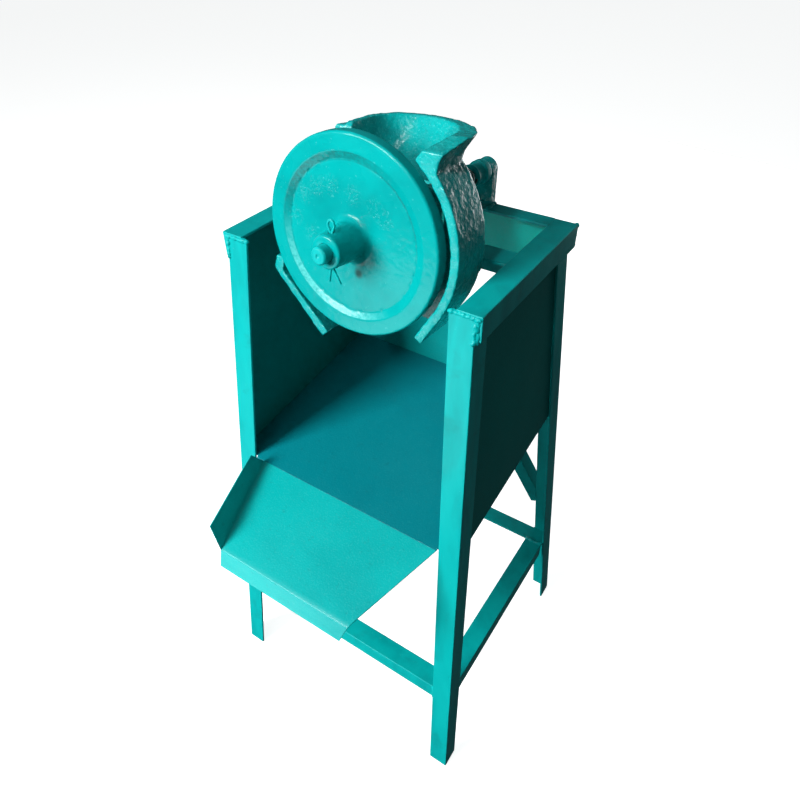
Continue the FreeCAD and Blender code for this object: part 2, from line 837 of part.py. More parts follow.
def arm_bar():
    # flat bar from the hub to the grip pin, with a round end
    half = crank_arm_width / 2
    inner_left = Vector(-half, arm_front, 0)
    inner_right = Vector(half, arm_front, 0)
    outer_left = Vector(-half, arm_front, -crank_arm_length)
    outer_right = Vector(half, arm_front, -crank_arm_length)
    tip = Vector(0, arm_front, -crank_arm_length - half)
    edges = [Part.makeLine(inner_left, outer_left), Part.Arc(outer_left, tip, outer_right).toShape(),
             Part.makeLine(outer_right, inner_right), Part.makeLine(inner_right, inner_left)]
    return Part.Face(Part.Wire(edges)).extrude(Vector(0, crank_arm_thickness, 0))


def crank_arm():
    hub = shaft_rod(crank_front, crank_back, crank_hub_radius)
    body = join([hub, arm_bar()]).cut(shaft_rod(crank_front, crank_back, shaft_radius + running_fit))
    body = body.cut(shaft_rod(arm_front, arm_back, grip_pin_radius + running_fit, 0, -crank_arm_length))
    return turn_crank(body.cut(set_screw_shank(0, running_fit)))


def crank_set_screw():
    place = (arm_back + crank_back) / 2
    head = hexagon((0, place, crank_hub_radius), (0, 0, set_screw[2]), set_screw[1])
    shank = set_screw_shank(shaft_radius + 2 * running_fit, 0)
    return turn_crank(join([shank, head]))


def grip_pin():
    # riveted in the arm, with a head that keeps the grip on
    end = grip_back + grip_play
    shank = shaft_rod(arm_front, end, grip_pin_radius, 0, -crank_arm_length)
    head = shaft_rod(end, end + grip_pin_head, grip_pin_head_radius, 0, -crank_arm_length)
    return turn_crank(join([shank, head]))


def crank_grip():
    middle = (grip_front + grip_back) / 2
    sag = grip_radius - grip_end_radius
    bulge_radius = ((grip_length / 2) ** 2 + sag ** 2) / (2 * sag)
    spread = math.degrees(math.asin(grip_length / 2 / bulge_radius))
    side = arc_points((grip_radius - bulge_radius, middle), bulge_radius, -spread, spread, 16)
    bore = grip_pin_radius + grip_fit
    outline = [(bore, grip_front)] + side + [(bore, grip_back)]
    return turn_crank(turned(outline, 0, -crank_arm_length))


def pressure_plate():
    # ribbed plate in the casing's window, sliding on the guide rod by its boss
    low = (window_low[0] + plate_play, plate_front, window_low[1] + plate_play + washer_play)
    high = (window_high[0] - plate_play, plate_back, window_high[1] - plate_play - washer_play)
    body = block(low, high)
    pitch = (high[2] - low[2]) / (2 * plate_rib_count + 1)
    for index in range(plate_rib_count):
        base = low[2] + pitch * (2 * index + 1)
        groove_high = (high[0], plate_front + plate_rib_depth, base + pitch)
        body = body.cut(block((low[0], plate_front, base), groove_high))
    x, z = rod_place
    boss = shaft_rod(plate_back, plate_boss_end, plate_boss_radius, x, z)
    bore_front = plate_front + plate_rib_depth + rod_end_play
    bore = shaft_rod(bore_front, plate_boss_end, rod_radius + running_fit, x, z)
    return seat_head(join([body, boss]).cut(bore))


def guide_rod():
    x, z = rod_place
    return seat_head(shaft_rod(rod_front, rod_end, rod_radius, x, z))


def tension_post():
    # upright welded on the rear rail, with a filleted foot and a round head
    x = rod_place[0]
    middle = post_front + post_thickness / 2 - disc_front
    head = shaft_height + rod_place[1] / math.cos(tilt) - middle * math.tan(tilt)
    left = x - post_half_width
    right = x + post_half_width
    back = post_front + post_thickness
    upright = block((left, post_front, stand_height), (right, back, head))
    crown = rod((x, post_front, head), (x, back, head), post_half_width)
    foot_low = (left, post_front - post_fillet, stand_height)
    foot = block(foot_low, (right, post_front, stand_height + post_fillet))
    hollow = rod((left, post_front - post_fillet, stand_height + post_fillet),
                 (right, post_front - post_fillet, stand_height + post_fillet), post_fillet)
    body = join([upright, crown, foot.cut(hollow)])
    x, z = rod_place
    return body.cut(seat_head(shaft_rod(rod_front, far, rod_radius + running_fit, x, z)))


def tension_spring():
    # open coil between the plate's boss and the washer
    play = spring_wire_radius + spring_seat_play
    height = spring_length - 2 * play
    helix = Part.makeHelix(height / spring_turns, height, spring_mean_radius)
    start = Vector(spring_mean_radius, 0, 0)
    profile = Part.Wire(Part.makeCircle(spring_wire_radius, start, Vector(0, 1, 0)))
    coil = Part.Wire(helix.Edges).makePipeShell([profile], True, True)
    coil.rotate(Vector(0, 0, 0), Vector(1, 0, 0), -quarter_turn)
    x, z = rod_place
    coil.translate(Vector(x, plate_boss_end + play, z))
    return seat_head(coil)


def spring_washer():
    x, z = rod_place
    bore = rod_radius + washer_play
    return seat_head(collar(spring_washer_front, nut_front, spring_washer_radius, bore, x, z))


def hand_nut():
    # round nut with a slimmer neck towards the spring
    x, z = rod_place
    inset = hand_nut_rounding
    back = nut_front + hand_nut_length
    neck_end = nut_front + hand_nut_neck_share * hand_nut_length
    flange = arc_points((hand_nut_radius - inset, neck_end + inset), inset, -quarter_turn, 0)
    back_edge = arc_points((hand_nut_radius - inset, back - inset), inset, 0, quarter_turn)
    bore = rod_radius + running_fit
    neck = [(hand_nut_neck_radius, nut_front), (hand_nut_neck_radius, neck_end)]
    outline = [(bore, nut_front)] + neck + flange + back_edge + [(bore, back)]
    return seat_head(turned(outline, x, z))


def make_nodes():
    nodes = {}
    for side, hand in ((-1, "left"), (1, "right")):
        nodes["leg_front_" + hand] = leg(side, -1)
        nodes["leg_rear_" + hand] = leg(side, 1)
        nodes["top_rail_" + hand] = top_side_rail(side)
        nodes["low_rail_" + hand] = low_side_rail(side)
        nodes["knee_brace_" + hand] = knee_brace(side)
        nodes["side_panel_" + hand] = side_panel(side)
    nodes["top_rail_rear"] = top_rear_rail()
    nodes["low_rail_front"] = low_end_rail(-1)
    nodes["low_rail_rear"] = low_end_rail(1)
    nodes["rear_panel_upper"] = upper_rear_panel()
    nodes["rear_panel_lower"] = lower_rear_panel()
    nodes["tray_floor"] = tray_floor()
    nodes["spout_apron"] = spout_apron()
    nodes["head_cross_bar"] = head_cross_bar()
    nodes["housing_casting"] = housing_casting()
    nodes["casing_bolts"] = foot_bolts()
    nodes["casing_nuts"] = foot_nuts()
    nodes["casing_washers"] = foot_washers()
    nodes["front_bush"] = bush(sleeve_front, bush_length)
    nodes["middle_bush"] = bush(sleeve_end - bush_length, bush_length)
    nodes["rear_bearing"] = rear_bearing()
    nodes["rear_bearing_bush"] = bush(bearing_bush_front(), bearing_boss_end - bearing_bush_front())
    nodes["rear_bearing_bolts"] = bearing_bolts()
    nodes["rear_bearing_nuts"] = bearing_nuts()
    nodes["toothed_disc"] = toothed_disc()
    nodes["drive_shaft"] = drive_shaft()
    nodes["split_pin"] = split_pin()
    nodes["thrust_washer"] = thrust_washer(hub_end + washer_play)
    nodes["rear_thrust_washer"] = thrust_washer(bearing_boss_end + washer_play)
    nodes["crank_arm"] = crank_arm()
    nodes["crank_set_screw"] = crank_set_screw()
    nodes["grip_pin"] = grip_pin()
    nodes["crank_grip"] = crank_grip()
    nodes["pressure_plate"] = pressure_plate()
    nodes["guide_rod"] = guide_rod()
    nodes["tension_post"] = tension_post()
    nodes["tension_spring"] = tension_spring()
    nodes["spring_washer"] = spring_washer()
    nodes["hand_nut"] = hand_nut()
    return nodes


def centre_shift(nodes):
    # moves the middle of the whole footprint to the origin
    boxes = [shape.optimalBoundingBox(True, False) for shape in nodes.values()]
    low_x = min(box.XMin for box in boxes)
    high_x = max(box.XMax for box in boxes)
    low_y = min(box.YMin for box in boxes)
    high_y = max(box.YMax for box in boxes)
    low_z = min(box.ZMin for box in boxes)
    return Vector(-(low_x + high_x) / 2, -(low_y + high_y) / 2, -low_z)


all_nodes = make_nodes()
shift = centre_shift(all_nodes)
for name, shape in all_nodes.items():
    shape.translate(shift)
    shape.exportStep("parts/" + name + ".step")
    print(name, len(shape.Solids), "solid", round(shape.Volume / 1000, 2), "cm3", shape.isValid())
print("origin shift", shift)
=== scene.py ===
import bpy
import bmesh
import json
import math
from mathutils import Matrix, Vector, noise

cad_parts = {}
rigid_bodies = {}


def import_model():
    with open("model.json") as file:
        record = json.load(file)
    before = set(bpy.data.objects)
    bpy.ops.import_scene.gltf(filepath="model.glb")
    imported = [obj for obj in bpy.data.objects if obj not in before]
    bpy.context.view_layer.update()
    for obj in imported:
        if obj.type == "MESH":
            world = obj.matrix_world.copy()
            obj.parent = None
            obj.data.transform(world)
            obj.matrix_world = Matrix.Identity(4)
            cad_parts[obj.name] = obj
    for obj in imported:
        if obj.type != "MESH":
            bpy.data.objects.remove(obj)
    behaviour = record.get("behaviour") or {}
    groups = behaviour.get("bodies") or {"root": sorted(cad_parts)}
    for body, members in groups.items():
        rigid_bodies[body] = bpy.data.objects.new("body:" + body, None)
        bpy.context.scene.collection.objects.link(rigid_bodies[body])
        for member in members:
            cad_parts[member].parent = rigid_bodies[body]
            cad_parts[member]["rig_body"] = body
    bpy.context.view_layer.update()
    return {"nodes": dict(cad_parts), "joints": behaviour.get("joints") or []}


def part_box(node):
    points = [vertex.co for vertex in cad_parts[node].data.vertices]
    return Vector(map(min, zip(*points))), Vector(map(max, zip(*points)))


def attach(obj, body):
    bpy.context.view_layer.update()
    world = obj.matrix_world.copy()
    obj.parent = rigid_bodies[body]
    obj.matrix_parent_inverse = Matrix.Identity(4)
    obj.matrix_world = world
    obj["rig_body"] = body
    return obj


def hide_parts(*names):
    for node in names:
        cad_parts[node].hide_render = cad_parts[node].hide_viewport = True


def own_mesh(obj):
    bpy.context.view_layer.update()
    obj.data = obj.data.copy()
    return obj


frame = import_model()
bpy.context.scene.view_settings.view_transform = "Standard"  # keeps the paint's strong turquoise
print("frame loaded with", len(frame["nodes"]), "nodes")

# places that the frame gives: the shaft's own axes and the stand's front face
joints = {joint["name"]: joint for joint in frame["joints"]}
shaftPoint = Vector(joints["shaft_spin"]["pos_m"])
shaftAxis = Vector(joints["shaft_spin"]["axis"]).normalized()
acrossAxis = Vector((1, 0, 0))
raisedAxis = acrossAxis.cross(shaftAxis)
headTurn = Matrix((acrossAxis, shaftAxis, raisedAxis)).transposed().to_4x4()
headMatrix = Matrix.Translation(shaftPoint) @ headTurn @ Matrix.Scale(0.001, 4)
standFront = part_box("top_rail_left")[0].y


def standPoint(across, back, up):
    return Vector((across * 0.001, standFront + back * 0.001, up * 0.001))


def newNode(tree, kind, **values):
    node = tree.nodes.new(kind)
    for socket, value in values.items():
        node.inputs[socket.replace("_", " ")].default_value = value
    return node


def noiseNode(tree, vector, scale, detail=3.0, roughness=0.5, distortion=0.0):
    node = newNode(tree, "ShaderNodeTexNoise", Scale=scale, Detail=detail, Roughness=roughness,
                   Distortion=distortion)
    tree.links.new(vector, node.inputs["Vector"])
    return node.outputs["Fac"]


def stretched(tree, vector, scale):
    node = newNode(tree, "ShaderNodeMapping", Scale=scale)
    tree.links.new(vector, node.inputs["Vector"])
    return node.outputs["Vector"]


def rampNode(tree, factor, stops):
    node = tree.nodes.new("ShaderNodeValToRGB")
    while len(node.color_ramp.elements) < len(stops):
        node.color_ramp.elements.new(0.5)
    for element, (place, colour) in zip(node.color_ramp.elements, stops):
        element.position = place
        element.color = (*colour, 1.0)
    tree.links.new(factor, node.inputs["Fac"])
    return node.outputs["Color"]


def rangeNode(tree, factor, fromLow, fromHigh, toLow, toHigh):
    node = newNode(tree, "ShaderNodeMapRange", From_Min=fromLow, From_Max=fromHigh, To_Min=toLow,
                   To_Max=toHigh)
    tree.links.new(factor, node.inputs["Value"])
    return node.outputs["Result"]


def mixColour(tree, factor, first, second):
    node = tree.nodes.new("ShaderNodeMix")
    node.data_type = "RGBA"
    tree.links.new(factor, node.inputs["Factor"])
    for socket, value in ((node.inputs[6], first), (node.inputs[7], second)):
        if isinstance(value, tuple):
            socket.default_value = (*value, 1.0)
        else:
            tree.links.new(value, socket)
    return node.outputs[2]


def bumpNode(tree, height, strength, distance, below=None):
    node = newNode(tree, "ShaderNodeBump", Strength=strength, Distance=distance)
    tree.links.new(height, node.inputs["Height"])
    if below is not None:
        tree.links.new(below, node.inputs["Normal"])
    return node.outputs["Normal"]


def newMaterial(name):
    material = bpy.data.materials.new(name)
    material.use_nodes = True
    tree = material.node_tree
    coords = tree.nodes.new("ShaderNodeTexCoord").outputs["Object"]
    return material, tree, coords, tree.nodes["Principled BSDF"]


paintColours = {
    "deep": (0.0, 0.36, 0.37),
    "main": (0.0, 0.49, 0.49),
    "pale": (0.002, 0.56, 0.55),
    # dark tone for the random grime, also the painted shade in the disc's rings
    "dirt": (0.01, 0.10, 0.095),
    # pale teal for painted highlights: the glint specks, the disc's lower slope and its grit patches
    "worn": (0.14, 0.70, 0.69),
}


def mathsNode(tree, operation, *values):
    node = tree.nodes.new("ShaderNodeMath")
    node.operation = operation
    for socket, value in zip(node.inputs, values):
        if isinstance(value, float):
            socket.default_value = value
        else:
            tree.links.new(value, socket)
    return node.outputs[0]


def headParts(tree, coords):
    # place across and above the shaft, and distance from it, in millimetres
    parts = []
    for axis in (acrossAxis, raisedAxis):
        turn = tree.nodes.new("ShaderNodeVectorMath")
        turn.operation = "DOT_PRODUCT"
        tree.links.new(coords, turn.inputs[0])
        turn.inputs[1].default_value = axis
        parts.append(mathsNode(tree, "MULTIPLY_ADD", turn.outputs["Value"], 1000.0,
                               -1000.0 * shaftPoint.dot(axis)))
    squares = [mathsNode(tree, "POWER", part, 2.0) for part in parts]
    return parts[0], parts[1], mathsNode(tree, "SQRT", mathsNode(tree, "ADD", *squares))


def ringMask(tree, radius, low, high, share, uneven):
    # a band about the shaft, uneven in strength, for painted shade and painted highlight on the disc
    inside = rangeNode(tree, radius, low, low + 0.5, 0.0, share)
    band = mathsNode(tree, "MULTIPLY", inside, rangeNode(tree, radius, high - 0.5, high, 1.0, 0.0))
    return mathsNode(tree, "MULTIPLY", band, rangeNode(tree, uneven, 0.3, 0.6, 0.3, 1.0))


def spotMask(tree, across, up, place, size):
    # a soft round spot, full within about a third of its radius
    squares = []
    for part, middle in ((across, place[0]), (up, place[1])):
        offset = mathsNode(tree, "SUBTRACT", part, float(middle))
        squares.append(mathsNode(tree, "POWER", offset, 2.0))
    away = mathsNode(tree, "SQRT", mathsNode(tree, "ADD", *squares))
    return rangeNode(tree, away, size, size * 0.35, 0.0, 1.0)


paintShared = {"shadesAt": (0.25, 0.5, 0.8), "speckBand": 0.05, "grimeAt": (0.60, 0.72),
               "gritAt": (0.52, 0.60), "gritGlintShare": 0.08, "gritStrength": 0.4, "gritHeight": 0.0006,
               "glossRatio": 2.3, "coatRough": 0.09, "coatIndex": 1.5, "peelHeight": 0.0003}


def paintMaterial(name, look):
    material, tree, coords, shader = newMaterial(name)
    along = stretched(tree, coords, look["stretch"])
    mottle = noiseNode(tree, along, look["mottle"], 4.0, 0.55, 0.3)
    tint = look.get("tint", (1.0, 1.0, 1.0))
    shades = [tuple(part * share for part, share in zip(paintColours[tone], tint))
              for tone in ("deep", "main", "pale")]
    colour = rampNode(tree, mottle, tuple(zip(paintShared["shadesAt"], shades)))
    # pale specks stand in for glints on the rough gloss: painted highlight
    specks = noiseNode(tree, coords, look["specks"], 2.0, 0.6)
    speckFrom = look["speckFrom"]
    speckTo = speckFrom + paintShared["speckBand"]
    glintSpeckMask = rangeNode(tree, specks, speckFrom, speckTo, 0.0, look["speckAmount"])
    colour = mixColour(tree, glintSpeckMask, colour, paintColours["worn"])
    grime = noiseNode(tree, coords, look["grime"], 5.0, 0.6, 0.6)
    grimeMask = rangeNode(tree, grime, *paintShared["grimeAt"], 0.0, look["grimeAmount"])
    colour = mixColour(tree, grimeMask, colour, paintColours["dirt"])
    lumps = noiseNode(tree, coords, look["lumps"], 3.0)
    normal = bumpNode(tree, lumps, look["lumpStrength"], look["lumpHeight"])
    if "rings" in look:
        across, up, radius = headParts(tree, coords)
        # each ring band is laid only on the side of the disc it faces: painted shadow and painted shade above,
        # painted highlight on the lower slope
        for low, high, share, tone, sideways, upward in look["rings"]:
            raised = mathsNode(tree, "MULTIPLY", up, upward)
            toward = mathsNode(tree, "MULTIPLY_ADD", across, sideways, raised)
            facing = rangeNode(tree, toward, *look["facing"], 0.0, 1.0)
            band = mathsNode(tree, "MULTIPLY", facing, ringMask(tree, radius, low, high, share, specks))
            colour = mixColour(tree, band, colour, paintColours[tone])
        for place, size, tone in look["spots"]:
            colour = mixColour(tree, spotMask(tree, across, up, place, size), colour, paintColours[tone])
        grains = noiseNode(tree, coords, look["gritScale"], 1.0)
        grit = rangeNode(tree, grains, *paintShared["gritAt"], 0.0, 1.0)
        # grit patches: the bump is real roughness, the pale colour share is painted highlight for glints
        for place in look["gritty"]:
            patch = mathsNode(tree, "MULTIPLY", grit, spotMask(tree, across, up, place, look["gritSize"]))
            faint = mathsNode(tree, "MULTIPLY", patch, paintShared["gritGlintShare"])
            colour = mixColour(tree, faint, colour, paintColours["worn"])
            normal = bumpNode(tree, patch, paintShared["gritStrength"], paintShared["gritHeight"], normal)
    tree.links.new(colour, shader.inputs["Base Color"])
    gloss = noiseNode(tree, along, look["mottle"] * paintShared["glossRatio"], 3.0)
    tree.links.new(rangeNode(tree, gloss, 0.3, 0.7, look["roughLow"], look["roughHigh"]),
                   shader.inputs["Roughness"])
    shader.inputs["Coat Weight"].default_value = look["coat"]
    shader.inputs["Coat Roughness"].default_value = paintShared["coatRough"]
    shader.inputs["Coat IOR"].default_value = paintShared["coatIndex"]
    shader.inputs["Specular IOR Level"].default_value = look["specular"]
    peel = noiseNode(tree, along, look["peel"], 2.0)
    normal = bumpNode(tree, peel, look["peelStrength"], paintShared["peelHeight"], normal)
    tree.links.new(normal, shader.inputs["Normal"])
    tree.links.new(normal, shader.inputs["Coat Normal"])
    return material


def metalMaterial(name, look):
    material, tree, coords, shader = newMaterial(name)
    scratches = noiseNode(tree, stretched(tree, coords, look["stretch"]), look["scratch"], 4.0, 0.6)
    stains = noiseNode(tree, coords, look["stain"], 5.0, 0.6, 0.5)
    colour = rampNode(tree, stains, ((0.35, look["dark"]), (0.65, look["light"])))
    tree.links.new(colour, shader.inputs["Base Color"])
    tree.links.new(rangeNode(tree, scratches, 0.3, 0.7, look["roughLow"], look["roughHigh"]),
                   shader.inputs["Roughness"])
    shader.inputs["Metallic"].default_value = look["metallic"]
    tree.links.new(bumpNode(tree, scratches, 0.3, 0.0001), shader.inputs["Normal"])
    return material


def woodMaterial(name, look):
    material, tree, coords, shader = newMaterial(name)
    lengthwise = stretched(tree, coords, look["stretch"])
    rings = newNode(tree, "ShaderNodeTexWave", Scale=look["rings"], Distortion=6.0, Detail=3.0,
                    Detail_Scale=1.4)
    tree.links.new(lengthwise, rings.inputs["Vector"])
    shades = ((0.1, look["dark"]), (0.55, look["main"]), (0.95, look["light"]))
    colour = rampNode(tree, rings.outputs["Fac"], shades)
    pores = noiseNode(tree, lengthwise, look["pores"], 4.0, 0.7)
    colour = mixColour(tree, rangeNode(tree, pores, 0.55, 0.7, 0.0, 0.6), colour, look["dark"])
    tree.links.new(colour, shader.inputs["Base Color"])
    tree.links.new(rangeNode(tree, pores, 0.3, 0.7, 0.35, 0.55), shader.inputs["Roughness"])
    tree.links.new(bumpNode(tree, pores, 0.4, 0.0003), shader.inputs["Normal"])
    return material


barLook = {
    "stretch": (1.0, 1.0, 0.25), "mottle": 28.0, "specks": 260.0, "speckFrom": 0.7, "speckAmount": 0.2,
    "grime": 30.0, "grimeAmount": 0.2, "roughLow": 0.34, "roughHigh": 0.46, "coat": 0.04, "lumps": 55.0,
    "lumpStrength": 0.2, "lumpHeight": 0.001, "peel": 420.0, "peelStrength": 0.35, "specular": 0.2}
sheetLook = {
    "stretch": (1.0, 1.0, 1.0), "mottle": 5.0, "specks": 560.0, "speckFrom": 0.56, "speckAmount": 0.09,
    "grime": 160.0, "grimeAmount": 0.2, "roughLow": 0.3, "roughHigh": 0.42, "coat": 0.06, "lumps": 3.5,
    "lumpStrength": 0.2, "lumpHeight": 0.004, "peel": 480.0, "peelStrength": 0.8, "specular": 0.25}
# tray paint darker than the apron's for the shade under the head: painted shade, and a little bluer
trayShadedLook = dict(sheetLook, tint=(1.0, 0.54, 0.66), speckAmount=0.04)
# side panels darkened for the shade on their inner faces: painted shade
panelShadedLook = dict(sheetLook, tint=(1.0, 0.52, 0.50), speckAmount=0.03, specular=0.06, coat=0.01)
# rear upper panel brightened and greener for the light falling on it: painted light
rearLitLook = dict(sheetLook, tint=(1.0, 1.55, 1.35), speckAmount=0.04, specular=0.15)
castLook = {
    "stretch": (1.0, 1.0, 1.0), "mottle": 40.0, "specks": 640.0, "speckFrom": 0.60, "speckAmount": 0.4,
    "grime": 45.0, "grimeAmount": 0.3, "roughLow": 0.2, "roughHigh": 0.34, "coat": 0.25, "lumps": 210.0,
    "lumpStrength": 0.5, "lumpHeight": 0.0018, "peel": 620.0, "peelStrength": 0.7, "specular": 0.35,
    "tint": (1.0, 0.85, 0.85)}
discLook = {
    "stretch": (1.0, 1.0, 1.0), "mottle": 12.0, "specks": 300.0, "speckFrom": 0.68, "speckAmount": 0.25,
    "grime": 34.0, "grimeAmount": 0.06, "roughLow": 0.24, "roughHigh": 0.32, "coat": 0.2, "lumps": 60.0,
    "lumpStrength": 0.1, "lumpHeight": 0.0008, "peel": 420.0, "peelStrength": 0.25, "specular": 0.08,
    # the tint darkens the whole disc to offset the spot light falling on it: painted shade
    "tint": (1.0, 0.80, 0.80), "facing": (30.0, 66.0),
    "rings": ((67.3, 69.4, 0.5, "dirt", 0.6, 0.8), (69.2, 76.0, 0.55, "dirt", -0.5, 0.87),
              (69.6, 75.6, 0.9, "worn", -0.5, -0.87)),  # from, to, strength, tone, side it faces: painted shadow in the step, painted shade on the upper slope, painted highlight on the lower slope
    "spots": (((8, -30), 6.0, "dirt"),), "gritScale": 420.0, "gritSize": 11.0,
    "gritty": ((-52, 30), (-38, 40), (-22, 44), (2, 40), (24, 34), (34, 26), (-64, 8), (-46, -6))}
weldLook = dict(barLook, mottle=80.0, lumps=300.0, lumpStrength=0.4, grimeAmount=0.3)
smallLook = dict(barLook, mottle=90.0, grimeAmount=0.4, lumps=200.0, lumpHeight=0.0008)

barPaint = paintMaterial("barPaint", barLook)
sheetPaint = paintMaterial("sheetPaint", sheetLook)
trayPaint = paintMaterial("trayPaint", trayShadedLook)
panelPaint = paintMaterial("panelPaint", panelShadedLook)
rearPaint = paintMaterial("rearPaint", rearLitLook)
castPaint = paintMaterial("castPaint", castLook)
discPaint = paintMaterial("discPaint", discLook)
weldPaint = paintMaterial("weldPaint", weldLook)
smallPaint = paintMaterial("smallPaint", smallLook)
darkSteel = metalMaterial("darkSteel", {
    "stretch": (1, 1, 0.2), "scratch": 300.0, "stain": 120.0, "dark": (0.005, 0.045, 0.05),
    "light": (0.04, 0.13, 0.135), "roughLow": 0.3, "roughHigh": 0.55, "metallic": 0.6})
springSteel = metalMaterial("springSteel", {
    "stretch": (1, 1, 1), "scratch": 400.0, "stain": 160.0, "dark": (0.08, 0.12, 0.125),
    "light": (0.28, 0.33, 0.34), "roughLow": 0.25, "roughHigh": 0.42, "metallic": 0.95})
bushBronze = metalMaterial("bushBronze", {
    "stretch": (1, 0.2, 1), "scratch": 350.0, "stain": 90.0, "dark": (0.30, 0.17, 0.06),
    "light": (0.62, 0.42, 0.18), "roughLow": 0.25, "roughHigh": 0.45, "metallic": 0.95})
gripWood = woodMaterial("gripWood", {
    "stretch": (1.0, 0.12, 1.0), "rings": 95.0, "pores": 700.0, "dark": (0.10, 0.045, 0.018),
    "main": (0.30, 0.15, 0.065), "light": (0.45, 0.26, 0.12)})
print("materials made")


def pieceFromMesh(name, mesh, material):
    piece = bpy.data.objects.new(name, mesh)
    bpy.context.scene.collection.objects.link(piece)
    mesh.materials.clear()
    mesh.materials.append(material)
    return piece


def bakeModifiers(piece):
    bpy.context.view_layer.update()
    graph = bpy.context.evaluated_depsgraph_get()
    baked = bpy.data.meshes.new_from_object(piece.evaluated_get(graph))
    piece.modifiers.clear()
    piece.data = baked
    return piece


def softShade(piece, degrees=35.0):
    piece.data.shade_smooth()
    piece.data.set_sharp_from_angle(angle=math.radians(degrees))


def nodeCopy(node, name, material, flatten=True):
    mesh = frame["nodes"][node].data.copy()
    work = bmesh.new()
    work.from_mesh(mesh)
    bmesh.ops.remove_doubles(work, verts=work.verts, dist=0.000002)
    if flatten:
        bmesh.ops.dissolve_limit(work, angle_limit=math.radians(1.0), verts=work.verts, edges=work.edges)
    work.to_mesh(mesh)
    work.free()
    mesh.name = name
    return pieceFromMesh(name, mesh, material)


def camelName(node):
    words = node.split("_")
    return words[0] + "".join(word.capitalize() for word in words[1:])


def finishPiece(piece, body, nodes):
    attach(piece, body)
    if nodes:
        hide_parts(*nodes)
    return piece


def bodyOf(node):
    return frame["nodes"][node]["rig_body"]


edgeLook = {"angle": 28, "barEdge": 0.0009, "sheetEdge": 0.0003}


def bevelledPiece(node, material, width, segments=2):
    piece = nodeCopy(node, camelName(node), material)
    bevel = piece.modifiers.new("edges", "BEVEL")
    bevel.width = width
    bevel.segments = segments
    bevel.limit_method = "ANGLE"
    bevel.angle_limit = math.radians(edgeLook["angle"])
    bevel.use_clamp_overlap = True
    piece.data.shade_smooth()
    weighted = piece.modifiers.new("flats", "WEIGHTED_NORMAL")
    weighted.keep_sharp = True
    bakeModifiers(piece)
    return finishPiece(piece, bodyOf(node), [node])


skinLook = {"shift": (3.1, 1.7, 2.3), "mean": 0.25, "fine": 0.25, "broad": 0.3}


def roughSkin(piece, depth, grain, lumps, seed):
    # sinks each vertex by a share of the depth, fine and broad noise together
    shift = Vector(tuple(seed * part for part in skinLook["shift"]))
    mesh = piece.data
    moved = []
    for vertex in mesh.vertices:
        place = vertex.co
        fine = noise.noise(place * grain + shift)
        broad = noise.noise(place * lumps - shift)
        share = skinLook["mean"] + skinLook["fine"] * fine + skinLook["broad"] * broad
        moved.extend(place - vertex.normal * depth * share)
    mesh.vertices.foreach_set("co", moved)
    mesh.update()


def castPiece(node, material, look):
    piece = nodeCopy(node, camelName(node), material, False)
    skin = piece.modifiers.new("skin", "REMESH")
    skin.mode = "VOXEL"
    skin.voxel_size = look["voxel"]
    smooth = piece.modifiers.new("rounding", "SMOOTH")
    smooth.factor = 0.5
    smooth.iterations = look["rounding"]
    bakeModifiers(piece)
    roughSkin(piece, look["depth"], look["grain"], look["lumps"], look["seed"])
    piece.data.shade_smooth()
    return finishPiece(piece, bodyOf(node), [node])


def roundedProfile(points, radius, steps=4, closed=False):
    # fillets each corner of a profile of (radius, along) points
    result = []
    count = len(points)
    for index, corner in enumerate(points):
        if not closed and index in (0, count - 1):
            result.append(corner)
            continue
        here = Vector(corner)
        before = Vector(points[index - 1]) - here
        after = Vector(points[(index + 1) % count]) - here
        reach = min(radius, before.length * 0.45, after.length * 0.45)
        start = here + before.normalized() * reach
        end = here + after.normalized() * reach
        for step in range(steps + 1):
            part = step / steps
            mixed = start.lerp(here, part).lerp(here.lerp(end, part), part)
            result.append((mixed.x, mixed.y))
    return result


def latheMesh(name, profile, centre=(0.0, 0.0), closed=True, segments=72, matrix=None):
    # profile of (radius, along) in millimetres, turned about a line along the shaft
    work = bmesh.new()
    rings = []
    for radius, along in profile:
        if radius < 0.0005:
            rings.append([work.verts.new((centre[0], along, centre[1]))])
            continue
        ring = []
        for index in range(segments):
            angle = 2 * math.pi * index / segments
            ring.append(work.verts.new((centre[0] + radius * math.cos(angle), along,
                                        centre[1] + radius * math.sin(angle))))
        rings.append(ring)
    pairs = list(zip(rings, rings[1:]))
    if closed:
        pairs.append((rings[-1], rings[0]))
    for first, second in pairs:
        for index in range(segments):
            following = (index + 1) % segments
            corners = [first[index % len(first)], first[following % len(first)],
                       second[following % len(second)], second[index % len(second)]]
            unique = list(dict.fromkeys(corners))
            if len(unique) > 2:
                work.faces.new(unique)
    bmesh.ops.recalc_face_normals(work, faces=work.faces)
    mesh = bpy.data.meshes.new(name)
    work.to_mesh(mesh)
    work.free()
    mesh.transform(headMatrix if matrix is None else matrix)
    return mesh


def lathePiece(node, profile, material, centre=(0.0, 0.0), closed=True, degrees=35.0):
    name = camelName(node)
    piece = pieceFromMesh(name, latheMesh(name, profile, centre, closed), material)
    softShade(piece, degrees)
    return finishPiece(piece, bodyOf(node), [node])


bars = ["leg_front_left", "leg_front_right", "leg_rear_left", "leg_rear_right", "top_rail_left",
        "top_rail_right", "top_rail_rear", "low_rail_front", "low_rail_rear", "low_rail_left",
        "low_rail_right", "knee_brace_left", "knee_brace_right", "head_cross_bar"]
for node in bars:
    bevelledPiece(node, barPaint, edgeLook["barEdge"], 3)
sheets = {"side_panel_left": panelPaint, "side_panel_right": panelPaint, "rear_panel_upper": rearPaint,
          "rear_panel_lower": sheetPaint, "tray_floor": trayPaint}
for node, paint in sheets.items():
    bevelledPiece(node, paint, edgeLook["sheetEdge"])
print("stand dressed")

spoutLook = {"outward": (0.35, -0.55, 0.75), "facing": 0.25, "smallFace": 0.0008, "fold": 0.004,
             "foldAngle": 15, "wall": 0.0015, "rimAngle": 50}


